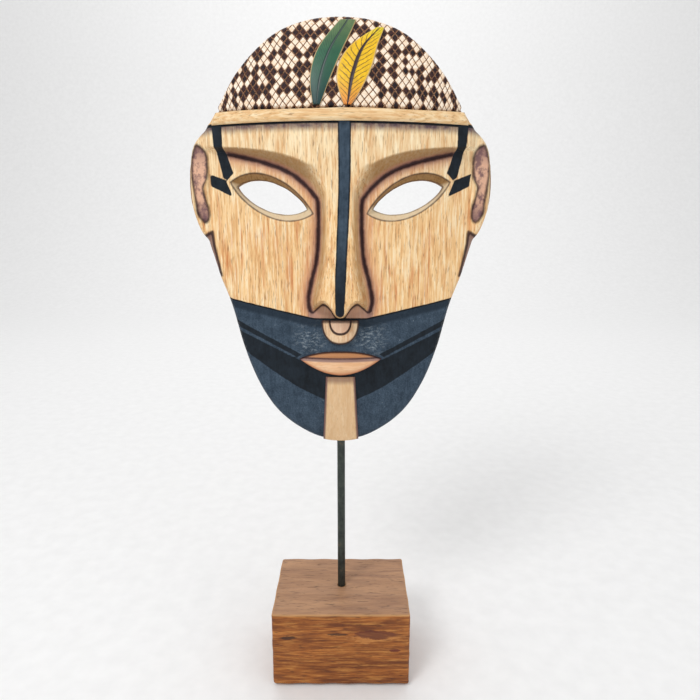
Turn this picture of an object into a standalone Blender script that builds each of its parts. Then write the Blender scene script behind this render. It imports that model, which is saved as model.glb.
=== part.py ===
# A carved wooden face mask on a steel rod and a hardwood block.
# The frame: +Z up, the face looks along -Y, +X is the viewer's right when facing it.
# The origin is the centre of the felt's underside, under the rod.

import math

import bmesh
import bpy
import numpy as np
from mathutils import Vector
from mathutils.geometry import interpolate_bezier

# ---------------------------------------------------------------- driving sizes, in metres
GAP = 0.0003  # between pieces that touch

BASE_WIDTH = 0.110
BASE_DEPTH = 0.080
BASE_HEIGHT = 0.066  # block and felt together
BLOCK_EDGE = 0.0016  # rounded arris of the block
FELT_THICKNESS = 0.0016
FELT_MARGIN = 0.004  # how far the felt stays in from the block's edge
FELT_CORNER = 0.006

ROD_DIAMETER = 0.00635
ROD_SHOWN = 0.132  # between the block and the chin
ROD_IN_BLOCK = 0.042
ROD_IN_CHIN = 0.040
ROD_END_CHAMFER = 0.0006
ROD_SIDES = 24

MASK_WIDTH = 0.2276  # over the ears
MASK_HEIGHT = 0.311
BACK_Y = 0.016  # flat rim at the back, behind the rod's axis
HOLLOW_DEPTH = 0.020
SIDE_RIM = 0.030  # wood left round the hollow: at the ears, over the chin and under the crown
CHIN_RIM = 0.053
CROWN_RIM = 0.034

CHEEK_Y = 0.013  # how far each surface lies in front of the rod's axis, at the middle
FOREHEAD_Y = 0.024
BRIDGE_Y = 0.023
NOSE_TIP_Y = 0.036
CHEEK_FALL = 0.0260  # how far the cheeks drop back at the full half width
FOREHEAD_FALL = 0.0310
CROWN_FALL = 0.026  # how far the cap drops back at the crown
CHIN_FALL = 0.008
CHIN_TURN = 0.15  # the chin falls back below this share of the height
MUZZLE_RISE = 0.0055
EAR_RISE = 0.0060
EYE_FLARE_X = 1.17  # the eye's opening at the surface over its opening inside
EYE_FLARE_Z = 1.38
EYE_LID_DEPTH = 0.006  # how deep that flare runs

CAP_THICKNESS = 0.005
CAP_SET_BACK = 0.0008  # the cap's face behind the forehead's
BAND_HEIGHT = 0.0082
BAND_PROUD = 0.0032
LEAF_THICKNESS = 0.0020
RING_THICKNESS = 0.0045
LIPS_THICKNESS = 0.0040
STRIP_THICKNESS = 0.0022

# ---------------------------------------------------------------- sizes that follow
HALF_WIDTH = MASK_WIDTH / 2
CHIN_Z = BASE_HEIGHT + ROD_SHOWN
BLOCK_BOTTOM = FELT_THICKNESS + GAP
BLOCK_HEIGHT = BASE_HEIGHT - BLOCK_BOTTOM
ROD_RADIUS = ROD_DIAMETER / 2
BORE_RADIUS = ROD_RADIUS + GAP
DEEP = 0.100  # cutters reach this far past the wood
EYE_STEPS = 12  # points along each lid
OVERLAY_RESOLUTION = 4

# ---------------------------------------------------------------- the face's proportions
# Each point is a share of the half width and a share of the height above the chin.
OUTLINE = [  # from the chin up the right side to the crown; True marks a sharp corner
    (0.000, 0.000, False), (0.193, 0.015, False), (0.409, 0.071, False),
    (0.555, 0.148, False), (0.656, 0.238, False), (0.738, 0.347, False),
    (0.812, 0.416, False), (0.870, 0.480, False), (0.893, 0.506, True),
    (0.938, 0.531, False), (0.992, 0.588, False), (1.000, 0.650, False),
    (0.972, 0.713, False), (0.905, 0.748, False), (0.822, 0.772, True),
    (0.756, 0.807, False), (0.624, 0.884, False), (0.422, 0.958, False),
    (0.218, 0.991, False), (0.000, 1.000, False),
]
BROW_EDGE = [  # upper edge of the slope from the forehead down to the eyes
    (0.100, 0.640), (0.120, 0.659), (0.207, 0.679), (0.330, 0.696),
    (0.453, 0.706), (0.578, 0.712), (0.712, 0.716), (0.900, 0.722),
]
FOREHEAD_SIDE = 0.885  # the forehead drops to the ears just inside this line
FOREHEAD_DROP = 0.055
FOREHEAD_LOW = 0.62  # the nose's profile gives way to the forehead's from here
FOREHEAD_EASE = 0.08
BROW_CREASE = [  # the foot of that slope
    (0.100, 0.560), (0.138, 0.585), (0.165, 0.608), (0.228, 0.633), (0.315, 0.657),
    (0.446, 0.677), (0.598, 0.692), (0.717, 0.702), (0.900, 0.712),
]
NOSE_EDGE = [  # half width of the nose's foot, by height
    (0.310, 0.150), (0.330, 0.188), (0.352, 0.206), (0.375, 0.205), (0.410, 0.186),
    (0.450, 0.157), (0.500, 0.141), (0.580, 0.138), (0.640, 0.150),
]
NOSE_RIDGE = [  # half width of the nose's flat back, by height
    (0.310, 0.080), (0.352, 0.110), (0.410, 0.080), (0.500, 0.066), (0.640, 0.070),
]
NOSE_PROFILE = [  # by height: share of the way from the bridge out to the tip
    (0.330, 0.96), (0.350, 1.00), (0.400, 0.84), (0.480, 0.42), (0.560, 0.10), (0.640, 0.00),
]
EYE_INNER = (0.210, 0.5755)
EYE_OUTER = (0.6705, 0.629)
EYE_TOP_HANDLES = [(0.290, 0.624), (0.510, 0.6655)]
EYE_LOW_HANDLES = [(0.615, 0.5915), (0.387, 0.540)]
NOSE_BOTTOM = 0.322
NOSE_LEDGE = 0.020  # height of the slope under the nose tip
MUZZLE_CENTRE = 0.200
MUZZLE_SPREAD = (0.32, 0.115)
EAR_EDGE = 0.855  # where the ear meets the temple
EAR_LOW = 0.505
EAR_TOP = 0.762
BAND_LOW = 0.7635
BAND_HALF = 0.808
BAND_SLANT = 0.04  # how far in the band's upper corners are
CAP_LOW = BAND_LOW + (BAND_HEIGHT + GAP) / MASK_HEIGHT
RING_TOP = 0.3165
RING_LOW = 0.2600
RING_HALF = 0.122
RING_SIDE = 0.95  # half widths further down, as shares of the one at the top
RING_FOOT = 0.55
RING_LIFT = 0.009
MOUTH_HALF = 0.274
MOUTH_CORNER = 0.222
MOUTH_TOP = 0.2425
MOUTH_LOW = 0.1855
LIP_BOW = 0.003  # how far each lip has closed half way to the corner
LIP_SAG = 0.008
STRIP_TOP = 0.175
STRIP_HALF_TOP = 0.097
STRIP_HALF_LOW = 0.122
STRIP_LOW = -0.02  # past the chin, which trims it
GREEN_RIB = [(0.797, -0.137), (0.850, -0.117), (0.910, -0.066), (0.990, 0.052)]  # height, then across
YELLOW_RIB = [(0.797, 0.048), (0.871, 0.086), (0.928, 0.150), (0.972, 0.250)]
GREEN_HALF = 0.078
YELLOW_HALF = 0.104
GREEN_ENDS = (0.09, 0.22)  # how blunt the stem and the tip are, as shares of a half turn
YELLOW_ENDS = (0.07, 0.07)
LEAF_STEPS = 7  # points up each side of a leaf

# ---------------------------------------------------------------- finishes
FINISHES = {  # colour, roughness, metallic
    "face_wood": ((0.72, 0.50, 0.29), 0.62, 0.0),
    "cap_paint": ((0.45, 0.36, 0.26), 0.70, 0.0),
    "band_wood": ((0.74, 0.54, 0.34), 0.60, 0.0),
    "green_paint": ((0.07, 0.14, 0.12), 0.45, 0.0),
    "yellow_paint": ((0.62, 0.43, 0.06), 0.45, 0.0),
    "ring_wood": ((0.52, 0.38, 0.26), 0.60, 0.0),
    "lip_paint": ((0.66, 0.45, 0.33), 0.55, 0.0),
    "strip_wood": ((0.68, 0.47, 0.30), 0.60, 0.0),
    "rod_steel": ((0.05, 0.05, 0.05), 0.45, 0.8),
    "block_wood": ((0.24, 0.09, 0.03), 0.50, 0.0),
    "base_felt": ((0.02, 0.02, 0.02), 0.95, 0.0),
}


# ---------------------------------------------------------------- scene
def clear_scene():
    for obj in list(bpy.data.objects):
        bpy.data.objects.remove(obj, do_unlink=True)


def new_collection(name):
    made = bpy.data.collections.new(name)
    bpy.context.scene.collection.children.link(made)
    return made


def add_object(name, mesh, collection):
    obj = bpy.data.objects.new(name, mesh)
    collection.objects.link(obj)
    return obj


def finish(obj, slot):
    colour, roughness, metallic = FINISHES[slot]
    material = bpy.data.materials.new(slot)
    material.use_nodes = True
    shader = material.node_tree.nodes["Principled BSDF"]
    shader.inputs["Base Color"].default_value = (*colour, 1.0)
    shader.inputs["Roughness"].default_value = roughness
    shader.inputs["Metallic"].default_value = metallic
    obj.data.materials.clear()
    obj.data.materials.append(material)


def boolean(obj, other, operation):
    modifier = obj.modifiers.new(f"{operation.lower()}_{other.name}", "BOOLEAN")
    modifier.operation = operation
    modifier.solver = "EXACT"
    modifier.object = other


# ---------------------------------------------------------------- curves and outlines
def smooth_through(points, at):
    """A smooth curve through a few points, read at many places along its first axis."""
    knots = np.array([p[0] for p in points])
    values = np.array([p[1] for p in points])
    slopes = np.gradient(values, knots)
    at = np.clip(at, knots[0], knots[-1])
    cell = np.clip(np.searchsorted(knots, at) - 1, 0, len(knots) - 2)
    width = knots[cell + 1] - knots[cell]
    t = (at - knots[cell]) / width
    rise = (2 * t**3 - 3 * t**2 + 1) * values[cell] + (3 * t**2 - 2 * t**3) * values[cell + 1]
    lean = (t**3 - 2 * t**2 + t) * slopes[cell] + (t**3 - t**2) * slopes[cell + 1]
    return rise + lean * width


def ease(t):
    t = np.clip(t, 0.0, 1.0)
    return t * t * (3 - 2 * t)


def place(share):
    """From shares of the mask to metres in the mask's own plane."""
    return share[0] * HALF_WIDTH, CHIN_Z + share[1] * MASK_HEIGHT


def prism(name, points, front, back, collection, resolution=3):
    """A flat outline of Bezier points, thick from y = front to y = back, as a closed mesh."""
    curve = bpy.data.curves.new(name, "CURVE")
    curve.dimensions = "2D"
    curve.fill_mode = "BOTH"
    curve.resolution_u = resolution
    curve.extrude = (back - front) / 2
    spline = curve.splines.new("BEZIER")
    spline.bezier_points.add(len(points) - 1)
    spline.use_cyclic_u = True
    for point, (across, up, sharp) in zip(spline.bezier_points, points):
        point.co = (*place((across, up)), 0.0)
        kind = "VECTOR" if sharp else "AUTO"
        point.handle_left_type = kind
        point.handle_right_type = kind
    flat = add_object(name + "_curve", curve, collection)
    flat.rotation_euler = (math.pi / 2, 0.0, 0.0)
    flat.location = (0.0, (front + back) / 2, 0.0)
    return curve_to_mesh(flat, name, collection)


def curve_to_mesh(flat, name, collection):
    bpy.context.view_layer.update()
    evaluated = flat.evaluated_get(bpy.context.evaluated_depsgraph_get())
    mesh = bpy.data.meshes.new_from_object(evaluated)
    mesh.name = name
    bm = bmesh.new()
    bm.from_mesh(mesh)
    bmesh.ops.remove_doubles(bm, verts=bm.verts, dist=0.00002)
    bmesh.ops.recalc_face_normals(bm, faces=bm.faces)
    bm.to_mesh(mesh)
    bm.free()
    obj = add_object(name, mesh, collection)
    obj.matrix_world = flat.matrix_world.copy()
    bpy.data.objects.remove(flat, do_unlink=True)
    return obj


def both_sides(half):
    """The right side's points, then the left side's, without repeating the middle ones."""
    left = [(-across, up, sharp) for across, up, sharp in reversed(half[1:-1])]
    return half + left


def leaf_outline(rib, half, ends):
    """Points round a leaf with a blunt stem and tip: up its left side, then down its right side."""
    rise = np.linspace(0, 1, LEAF_STEPS + 2)
    heights = rib[0][0] + (rib[-1][0] - rib[0][0]) * rise
    middle = smooth_through(rib, heights)
    stem, tip = ends
    reach = half * np.sin(math.pi * (stem + (1 - stem - tip) * rise))
    corners = (0, LEAF_STEPS + 1)
    order = range(LEAF_STEPS + 2)
    left = [(middle[i] - reach[i], heights[i], i in corners) for i in order]
    right = [(middle[i] + reach[i], heights[i], i in corners) for i in reversed(order)]
    return left + right


# ---------------------------------------------------------------- the carved surface
def proud_share(across, up):
    """1 on the forehead and the nose's ridge, 0 on the cheeks, easing between them."""
    edge = smooth_through(BROW_EDGE, across)
    crease = smooth_through(BROW_CREASE, across)
    side = ease((FOREHEAD_SIDE - across) / FOREHEAD_DROP)
    brow = ease((up - crease) / (edge - crease)) * side
    foot = smooth_through(NOSE_EDGE, up)
    ridge = smooth_through(NOSE_RIDGE, up)
    ledge = ease((up - NOSE_BOTTOM) / NOSE_LEDGE)
    nose = ease((foot - across) / (foot - ridge)) * ledge
    return np.maximum(brow, nose)


def ear_rise(across, up):
    over = np.clip((across - EAR_EDGE) / (1 - EAR_EDGE), 0, 1)
    along = np.clip((up - EAR_LOW) / (EAR_TOP - EAR_LOW), 0, 1)
    return np.sin(math.pi * over) ** 0.7 * np.sin(math.pi * along) ** 0.5


def front_y(across, up):
    """Depth of the carved front, for shares of the half width and the height."""
    across = np.abs(np.asarray(across, float))
    up = np.asarray(up, float)
    cheek = -CHEEK_Y + CHEEK_FALL * across**2
    muzzle = ((across / MUZZLE_SPREAD[0]) ** 2 + ((up - MUZZLE_CENTRE) / MUZZLE_SPREAD[1]) ** 2)
    cheek = cheek - MUZZLE_RISE * np.exp(-muzzle) + CHIN_FALL * np.clip(1 - up / CHIN_TURN, 0, 1) ** 2
    crown = np.clip((up - BAND_LOW) / (1 - BAND_LOW), 0, 1.1) ** 2
    forehead = -FOREHEAD_Y + FOREHEAD_FALL * across**2 + CROWN_FALL * crown
    reach = smooth_through(NOSE_PROFILE, up)
    nose = -BRIDGE_Y - (NOSE_TIP_Y - BRIDGE_Y) * reach + FOREHEAD_FALL * across**2
    above = ease((up - FOREHEAD_LOW) / FOREHEAD_EASE)
    proud = nose + (forehead - nose) * above
    share = proud_share(across, up)
    return cheek + (proud - cheek) * share - EAR_RISE * ear_rise(across, up)


def packed_lines(low, high, count, focus, reach):
    """Positions from low to high, closer together near each focus."""
    fine = np.linspace(low, high, 2001)
    density = 1 + sum(1.6 * np.exp(-(((fine - f) / reach) ** 2)) for f in focus)
    total = np.concatenate([[0], np.cumsum((density[1:] + density[:-1]) / 2)])
    return np.interp(np.linspace(0, total[-1], count), total, fine)


COLUMNS = packed_lines(0.0, 1.06, 23, (0.13, 0.20, 0.86), 0.06)
COLUMNS = np.concatenate([-COLUMNS[:0:-1], COLUMNS])
ROWS = packed_lines(-0.03, 1.03, 52, (0.325, 0.66, 0.71), 0.035)


def relief_slab(name, collection, front=0.0, back=None, low=None):
    """A slab that follows the carved front. front and back shift its faces along Y;
    back None leaves a flat rear past the rim, and low starts it at that height."""
    rows = ROWS if low is None else np.concatenate([[low], ROWS[ROWS > low + 0.004]])
    bm = bmesh.new()
    bmesh.ops.create_grid(bm, x_segments=len(COLUMNS) - 1, y_segments=len(rows) - 1, size=1.0)
    for vert in bm.verts:
        across = COLUMNS[round((vert.co.x + 1) / 2 * (len(COLUMNS) - 1))]
        up = rows[round((vert.co.y + 1) / 2 * (len(rows) - 1))]
        vert.co = (across * HALF_WIDTH, float(front_y(across, up)) + front, CHIN_Z + up * MASK_HEIGHT)
    bmesh.ops.triangulate(bm, faces=bm.faces, quad_method="SHORT_EDGE")
    if back is None:
        rim = [edge for edge in bm.edges if edge.is_boundary]
        grown = bmesh.ops.extrude_edge_only(bm, edges=rim)["geom"]
        for vert in (item for item in grown if isinstance(item, bmesh.types.BMVert)):
            vert.co.y = BACK_Y + DEEP
        bmesh.ops.contextual_create(bm, geom=[edge for edge in bm.edges if edge.is_boundary])
    else:
        grown = bmesh.ops.extrude_face_region(bm, geom=list(bm.faces))["geom"]
        for vert in (item for item in grown if isinstance(item, bmesh.types.BMVert)):
            vert.co.y += back - front
    bmesh.ops.recalc_face_normals(bm, faces=bm.faces)
    mesh = bpy.data.meshes.new(name)
    bm.to_mesh(mesh)
    bm.free()
    return add_object(name, mesh, collection)


# ---------------------------------------------------------------- the pieces
def cylinder(name, radius, low, high, collection, chamfer=0.0):
    bpy.ops.mesh.primitive_cylinder_add(vertices=ROD_SIDES, radius=radius, depth=high - low,
                                        location=(0.0, 0.0, (low + high) / 2))
    obj = bpy.context.object
    obj.name = name
    obj.users_collection[0].objects.unlink(obj)
    collection.objects.link(obj)
    if chamfer:
        bevel = obj.modifiers.new("chamfer", "BEVEL")
        bevel.width = chamfer
        bevel.segments = 1
        bevel.limit_method = "ANGLE"
        bevel.angle_limit = math.radians(50)
    return obj


def box(name, size, low, collection, edge, upright_only=False):
    bm = bmesh.new()
    bmesh.ops.create_cube(bm, size=1.0)
    for vert in bm.verts:
        vert.co = (vert.co.x * size[0], vert.co.y * size[1], low + (vert.co.z + 0.5) * size[2])
    edges = [e for e in bm.edges
             if not upright_only or abs(e.verts[0].co.z - e.verts[1].co.z) > size[2] / 2]
    bmesh.ops.bevel(bm, geom=edges, offset=edge, segments=3, profile=0.5, affect="EDGES")
    mesh = bpy.data.meshes.new(name)
    bm.to_mesh(mesh)
    bm.free()
    return add_object(name, mesh, collection)


def make_base(parts, cutters):
    block = box("base_block", (BASE_WIDTH, BASE_DEPTH, BLOCK_HEIGHT), BLOCK_BOTTOM, parts, BLOCK_EDGE)
    rod_low = BASE_HEIGHT - ROD_IN_BLOCK
    bore = cylinder("block_bore", BORE_RADIUS, rod_low - GAP, BASE_HEIGHT + DEEP, cutters)
    boolean(block, bore, "DIFFERENCE")
    finish(block, "block_wood")
    felt_size = (BASE_WIDTH - 2 * FELT_MARGIN, BASE_DEPTH - 2 * FELT_MARGIN, FELT_THICKNESS)
    felt = box("base_felt", felt_size, 0.0, parts, FELT_CORNER, upright_only=True)
    finish(felt, "base_felt")


def make_rod(parts):
    rod = cylinder("stand_rod", ROD_RADIUS, BASE_HEIGHT - ROD_IN_BLOCK, CHIN_Z + ROD_IN_CHIN, parts,
                   ROD_END_CHAMFER)
    for polygon in rod.data.polygons:
        polygon.use_smooth = len(polygon.vertices) == 4
    finish(rod, "rod_steel")


def almond(flare_x, flare_z):
    """Points round the right eye's opening, inner corner first, grown about its middle."""
    ends = [(EYE_INNER, EYE_TOP_HANDLES, EYE_OUTER), (EYE_OUTER, EYE_LOW_HANDLES, EYE_INNER)]
    points = []
    for start, handles, end in ends:
        corners = [Vector((*place(share), 0.0)) for share in (start, *handles, end)]
        points += interpolate_bezier(*corners, EYE_STEPS)[:-1]
    middle = (points[0] + points[EYE_STEPS - 1]) / 2
    return [(middle.x + (p.x - middle.x) * flare_x, middle.y + (p.y - middle.y) * flare_z)
            for p in points]


def eye_cutter(name, side, cutters):
    """An almond opening through the wood that flares towards the front of the face."""
    surface = float(front_y((EYE_INNER[0] + EYE_OUTER[0]) / 2, (EYE_INNER[1] + EYE_OUTER[1]) / 2))
    bm = bmesh.new()
    rings = []
    for depth, flared in ((BACK_Y + DEEP, False), (surface + EYE_LID_DEPTH, False),
                          (surface, True), (surface - DEEP, True)):
        outline = almond(EYE_FLARE_X, EYE_FLARE_Z) if flared else almond(1.0, 1.0)
        verts = [bm.verts.new((side * x, depth, z)) for x, z in outline]
        edges = [bm.edges.new((a, b)) for a, b in zip(verts, verts[1:] + verts[:1])]
        if rings:
            bmesh.ops.bridge_loops(bm, edges=rings[-1] + edges)
        rings.append(edges)
    for edges in (rings[0], rings[-1]):
        bmesh.ops.contextual_create(bm, geom=edges)
    bmesh.ops.recalc_face_normals(bm, faces=bm.faces)
    mesh = bpy.data.meshes.new(name)
    bm.to_mesh(mesh)
    bm.free()
    return add_object(name, mesh, cutters)


def hollow_cutter(cutters):
    """The scoop at the back: half an ellipsoid behind the rim."""
    half_width = HALF_WIDTH - SIDE_RIM
    half_height = (MASK_HEIGHT - CHIN_RIM - CROWN_RIM) / 2
    middle = CHIN_Z + CHIN_RIM + half_height
    bm = bmesh.new()
    bmesh.ops.create_uvsphere(bm, u_segments=36, v_segments=20, radius=1.0)
    for vert in bm.verts:
        vert.co = (vert.co.x * half_width, BACK_Y - vert.co.z * HOLLOW_DEPTH,
                   middle + vert.co.y * half_height)
    mesh = bpy.data.meshes.new("hollow")
    bm.to_mesh(mesh)
    bm.free()
    return add_object("hollow", mesh, cutters)


def make_face(parts, cutters):
    face = relief_slab("face", parts)
    outline = prism("face_outline", both_sides(OUTLINE), -DEEP, BACK_Y, cutters)
    boolean(face, outline, "INTERSECT")
    boolean(face, hollow_cutter(cutters), "DIFFERENCE")
    for name, side in (("eye_left", -1), ("eye_right", 1)):
        boolean(face, eye_cutter(name, side, cutters), "DIFFERENCE")
    socket = cylinder("chin_socket", BORE_RADIUS, CHIN_Z - DEEP, CHIN_Z + ROD_IN_CHIN + GAP, cutters)
    boolean(face, socket, "DIFFERENCE")
    pocket = relief_slab("cap_pocket", cutters, front=-DEEP, back=CAP_SET_BACK + CAP_THICKNESS + GAP,
                         low=CAP_LOW - GAP / MASK_HEIGHT)
    boolean(face, pocket, "DIFFERENCE")
    finish(face, "face_wood")


def make_overlay(name, slot, points, front, thickness, parts, cutters, trim=False):
    """A piece of even thickness that follows the carved front, inside a flat outline."""
    piece = relief_slab(name, parts, front=front - thickness, back=front - GAP)
    outline = prism(name + "_outline", points, -DEEP, DEEP, cutters, OVERLAY_RESOLUTION)
    boolean(piece, outline, "INTERSECT")
    if trim:
        boolean(piece, bpy.data.objects["face_outline"], "INTERSECT")
    finish(piece, slot)


def make_cap(parts, cutters):
    cap = relief_slab("cap_panel", parts, front=CAP_SET_BACK, back=CAP_SET_BACK + CAP_THICKNESS,
                      low=CAP_LOW)
    boolean(cap, bpy.data.objects["face_outline"], "INTERSECT")
    finish(cap, "cap_paint")
    for name, slot, rib, half, ends in (
            ("leaf_green", "green_paint", GREEN_RIB, GREEN_HALF, GREEN_ENDS),
            ("leaf_yellow", "yellow_paint", YELLOW_RIB, YELLOW_HALF, YELLOW_ENDS)):
        make_overlay(name, slot, leaf_outline(rib, half, ends), CAP_SET_BACK, LEAF_THICKNESS, parts, cutters)


def make_details(parts, cutters):
    top = BAND_LOW + BAND_HEIGHT / MASK_HEIGHT
    middle = (BAND_LOW + top) / 2
    slant = BAND_HALF - BAND_SLANT
    band = [(-slant, top, True), (slant, top, True), (BAND_HALF, middle, True),
            (BAND_HALF, BAND_LOW, True), (-BAND_HALF, BAND_LOW, True), (-BAND_HALF, middle, True)]
    make_overlay("headband", "band_wood", band, 0.0, BAND_PROUD, parts, cutters)
    shield = [(-RING_HALF, RING_TOP, True), (-RING_HALF * RING_SIDE, (RING_TOP + RING_LOW) / 2, False),
              (-RING_HALF * RING_FOOT, RING_LOW + RING_LIFT, False), (0.0, RING_LOW, False),
              (RING_HALF * RING_FOOT, RING_LOW + RING_LIFT, False),
              (RING_HALF * RING_SIDE, (RING_TOP + RING_LOW) / 2, False), (RING_HALF, RING_TOP, True)]
    make_overlay("nose_ring", "ring_wood", shield, 0.0, RING_THICKNESS, parts, cutters)
    lips = [(-MOUTH_HALF, MOUTH_CORNER, True), (-MOUTH_HALF * 0.5, MOUTH_TOP - LIP_BOW, False),
            (0.0, MOUTH_TOP, False), (MOUTH_HALF * 0.5, MOUTH_TOP - LIP_BOW, False),
            (MOUTH_HALF, MOUTH_CORNER, True), (MOUTH_HALF * 0.5, MOUTH_LOW + LIP_SAG, False),
            (0.0, MOUTH_LOW, False), (-MOUTH_HALF * 0.5, MOUTH_LOW + LIP_SAG, False)]
    make_overlay("lips", "lip_paint", lips, 0.0, LIPS_THICKNESS, parts, cutters)
    strip = [(-STRIP_HALF_TOP, STRIP_TOP, True), (STRIP_HALF_TOP, STRIP_TOP, True),
             (STRIP_HALF_LOW, STRIP_LOW, True), (-STRIP_HALF_LOW, STRIP_LOW, True)]
    make_overlay("chin_strip", "strip_wood", strip, 0.0, STRIP_THICKNESS, parts, cutters, trim=True)


def main():
    clear_scene()
    parts = new_collection("folk_mask")
    cutters = new_collection("cutters")
    make_base(parts, cutters)
    make_rod(parts)
    make_face(parts, cutters)
    make_cap(parts, cutters)
    make_details(parts, cutters)
    for obj in cutters.objects:
        obj.hide_render = True
        obj.display_type = "WIRE"


main()
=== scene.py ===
import math

import bmesh
import bpy
import numpy as np
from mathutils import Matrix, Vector


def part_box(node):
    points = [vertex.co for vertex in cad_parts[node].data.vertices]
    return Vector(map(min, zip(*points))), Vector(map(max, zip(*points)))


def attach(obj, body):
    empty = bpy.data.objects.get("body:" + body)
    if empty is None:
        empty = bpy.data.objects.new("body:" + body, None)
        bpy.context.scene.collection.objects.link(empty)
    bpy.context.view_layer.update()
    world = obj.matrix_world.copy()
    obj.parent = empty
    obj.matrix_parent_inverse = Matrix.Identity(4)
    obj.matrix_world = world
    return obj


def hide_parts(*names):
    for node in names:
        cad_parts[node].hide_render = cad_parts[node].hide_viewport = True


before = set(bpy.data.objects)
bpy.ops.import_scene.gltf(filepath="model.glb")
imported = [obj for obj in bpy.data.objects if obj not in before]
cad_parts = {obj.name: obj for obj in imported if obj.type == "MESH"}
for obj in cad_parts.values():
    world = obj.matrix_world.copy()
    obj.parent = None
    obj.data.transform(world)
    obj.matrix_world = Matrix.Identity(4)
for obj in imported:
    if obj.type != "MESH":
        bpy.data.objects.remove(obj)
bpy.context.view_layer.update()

# the mask's plan is worked in millimetres: x across from the middle, w up from the chin
mm = 0.001
faceLow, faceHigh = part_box("face")
chinZ = faceLow.z
gap = 0.3
halfSpan = 113.8  # the half width that shares across the face are taken of
tall = (faceHigh.z - faceLow.z) / mm


# small tools for shapes

def smoothThrough(points, at):
    knots = np.array([p[0] for p in points], float)
    values = np.array([p[1] for p in points], float)
    slopes = np.gradient(values, knots)
    at = np.clip(at, knots[0], knots[-1])
    cell = np.clip(np.searchsorted(knots, at) - 1, 0, len(knots) - 2)
    width = knots[cell + 1] - knots[cell]
    t = (at - knots[cell]) / width
    rise = (2 * t**3 - 3 * t**2 + 1) * values[cell] + (3 * t**2 - 2 * t**3) * values[cell + 1]
    lean = (t**3 - 2 * t**2 + t) * slopes[cell] + (t**3 - t**2) * slopes[cell + 1]
    return rise + lean * width


def ease(t):
    t = np.clip(t, 0.0, 1.0)
    return t * t * (3 - 2 * t)


def toPlan(shares):
    return [(a * halfSpan, u * tall) for a, u in shares]


def smoothPath(points, steps=6, closed=False, sharp=()):
    # a Catmull-Rom curve; it turns hard at the points listed as sharp
    count = len(points)
    spots = np.array(points, float)
    path = []
    for i in range(count if closed else count - 1):
        a, b = spots[i], spots[(i + 1) % count]
        before = spots[(i - 1) % count] if closed or i else a
        after = spots[(i + 2) % count] if closed or i + 2 < count else b
        leave = (b - a) if i in sharp else (b - before) / 2
        arrive = (b - a) if (i + 1) % count in sharp else (after - a) / 2
        for t in np.arange(steps) / steps:
            path.append((2 * t**3 - 3 * t**2 + 1) * a + (t**3 - 2 * t**2 + t) * leave
                        + (3 * t**2 - 2 * t**3) * b + (t**3 - t**2) * arrive)
    path.append(spots[0] if closed else spots[-1])
    return np.array(path)


def mirrored(path):
    return np.array(path) * (-1, 1)


def nearest(points, path, reach=14.0):
    # distance to a path and the nearest spot on it; far points keep the reach
    path = np.asarray(path, float)
    distance = np.full(len(points), reach)
    spot = points.copy()
    low, high = path.min(0) - reach, path.max(0) + reach
    close = np.nonzero(((points > low) & (points < high)).all(1))[0]
    start, run = path[:-1], path[1:] - path[:-1]
    square = np.maximum((run**2).sum(1), 1e-12)
    for begin in range(0, len(close), 4000):
        chosen = close[begin:begin + 4000]
        p = points[chosen][:, None, :]
        t = np.clip(((p - start) * run).sum(2) / square, 0, 1)
        q = start + t[..., None] * run
        d = ((p - q)**2).sum(2)
        k = d.argmin(1)
        rows = np.arange(len(chosen))
        distance[chosen] = np.minimum(np.sqrt(d[rows, k]), reach)
        spot[chosen] = q[rows, k]
    return distance, spot


def inside(points, path):
    path = np.asarray(path, float)
    odd = np.zeros(len(points), bool)
    x, y = points[:, 0], points[:, 1]
    for (ax, ay), (bx, by) in zip(path[:-1], path[1:]):
        if ay == by:
            continue
        crossing = (ay > y) != (by > y)
        odd ^= crossing & (x < (bx - ax) * (y - ay) / (by - ay) + ax)
    return odd


def closedPath(corners):
    return np.array(list(corners) + [corners[0]], float)


def signedDistance(points, path, reach=14.0):
    # above nought inside a closed path
    distance = nearest(points, path, reach)[0]
    return np.where(inside(points, path), distance, -distance)


def hash01(i, j, salt=0.0):
    return np.mod(np.sin(i * 12.9898 + j * 78.233 + salt * 37.719) * 43758.5453, 1.0)


def ripple(x, w, size, seed=0.0):
    # uneven waves about one size long, between -1 and 1
    a = np.sin(x / size * 2.1 + seed + 1.7 * np.sin(w / size * 0.9 + seed * 2))
    b = np.sin(w / size * 1.7 - seed + 1.9 * np.sin(x / size * 1.1 + seed))
    c = np.sin((x + w) / size * 1.3 + seed * 3)
    return (a + b + c) / 3


# the carved front, as the CAD model has it

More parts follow.
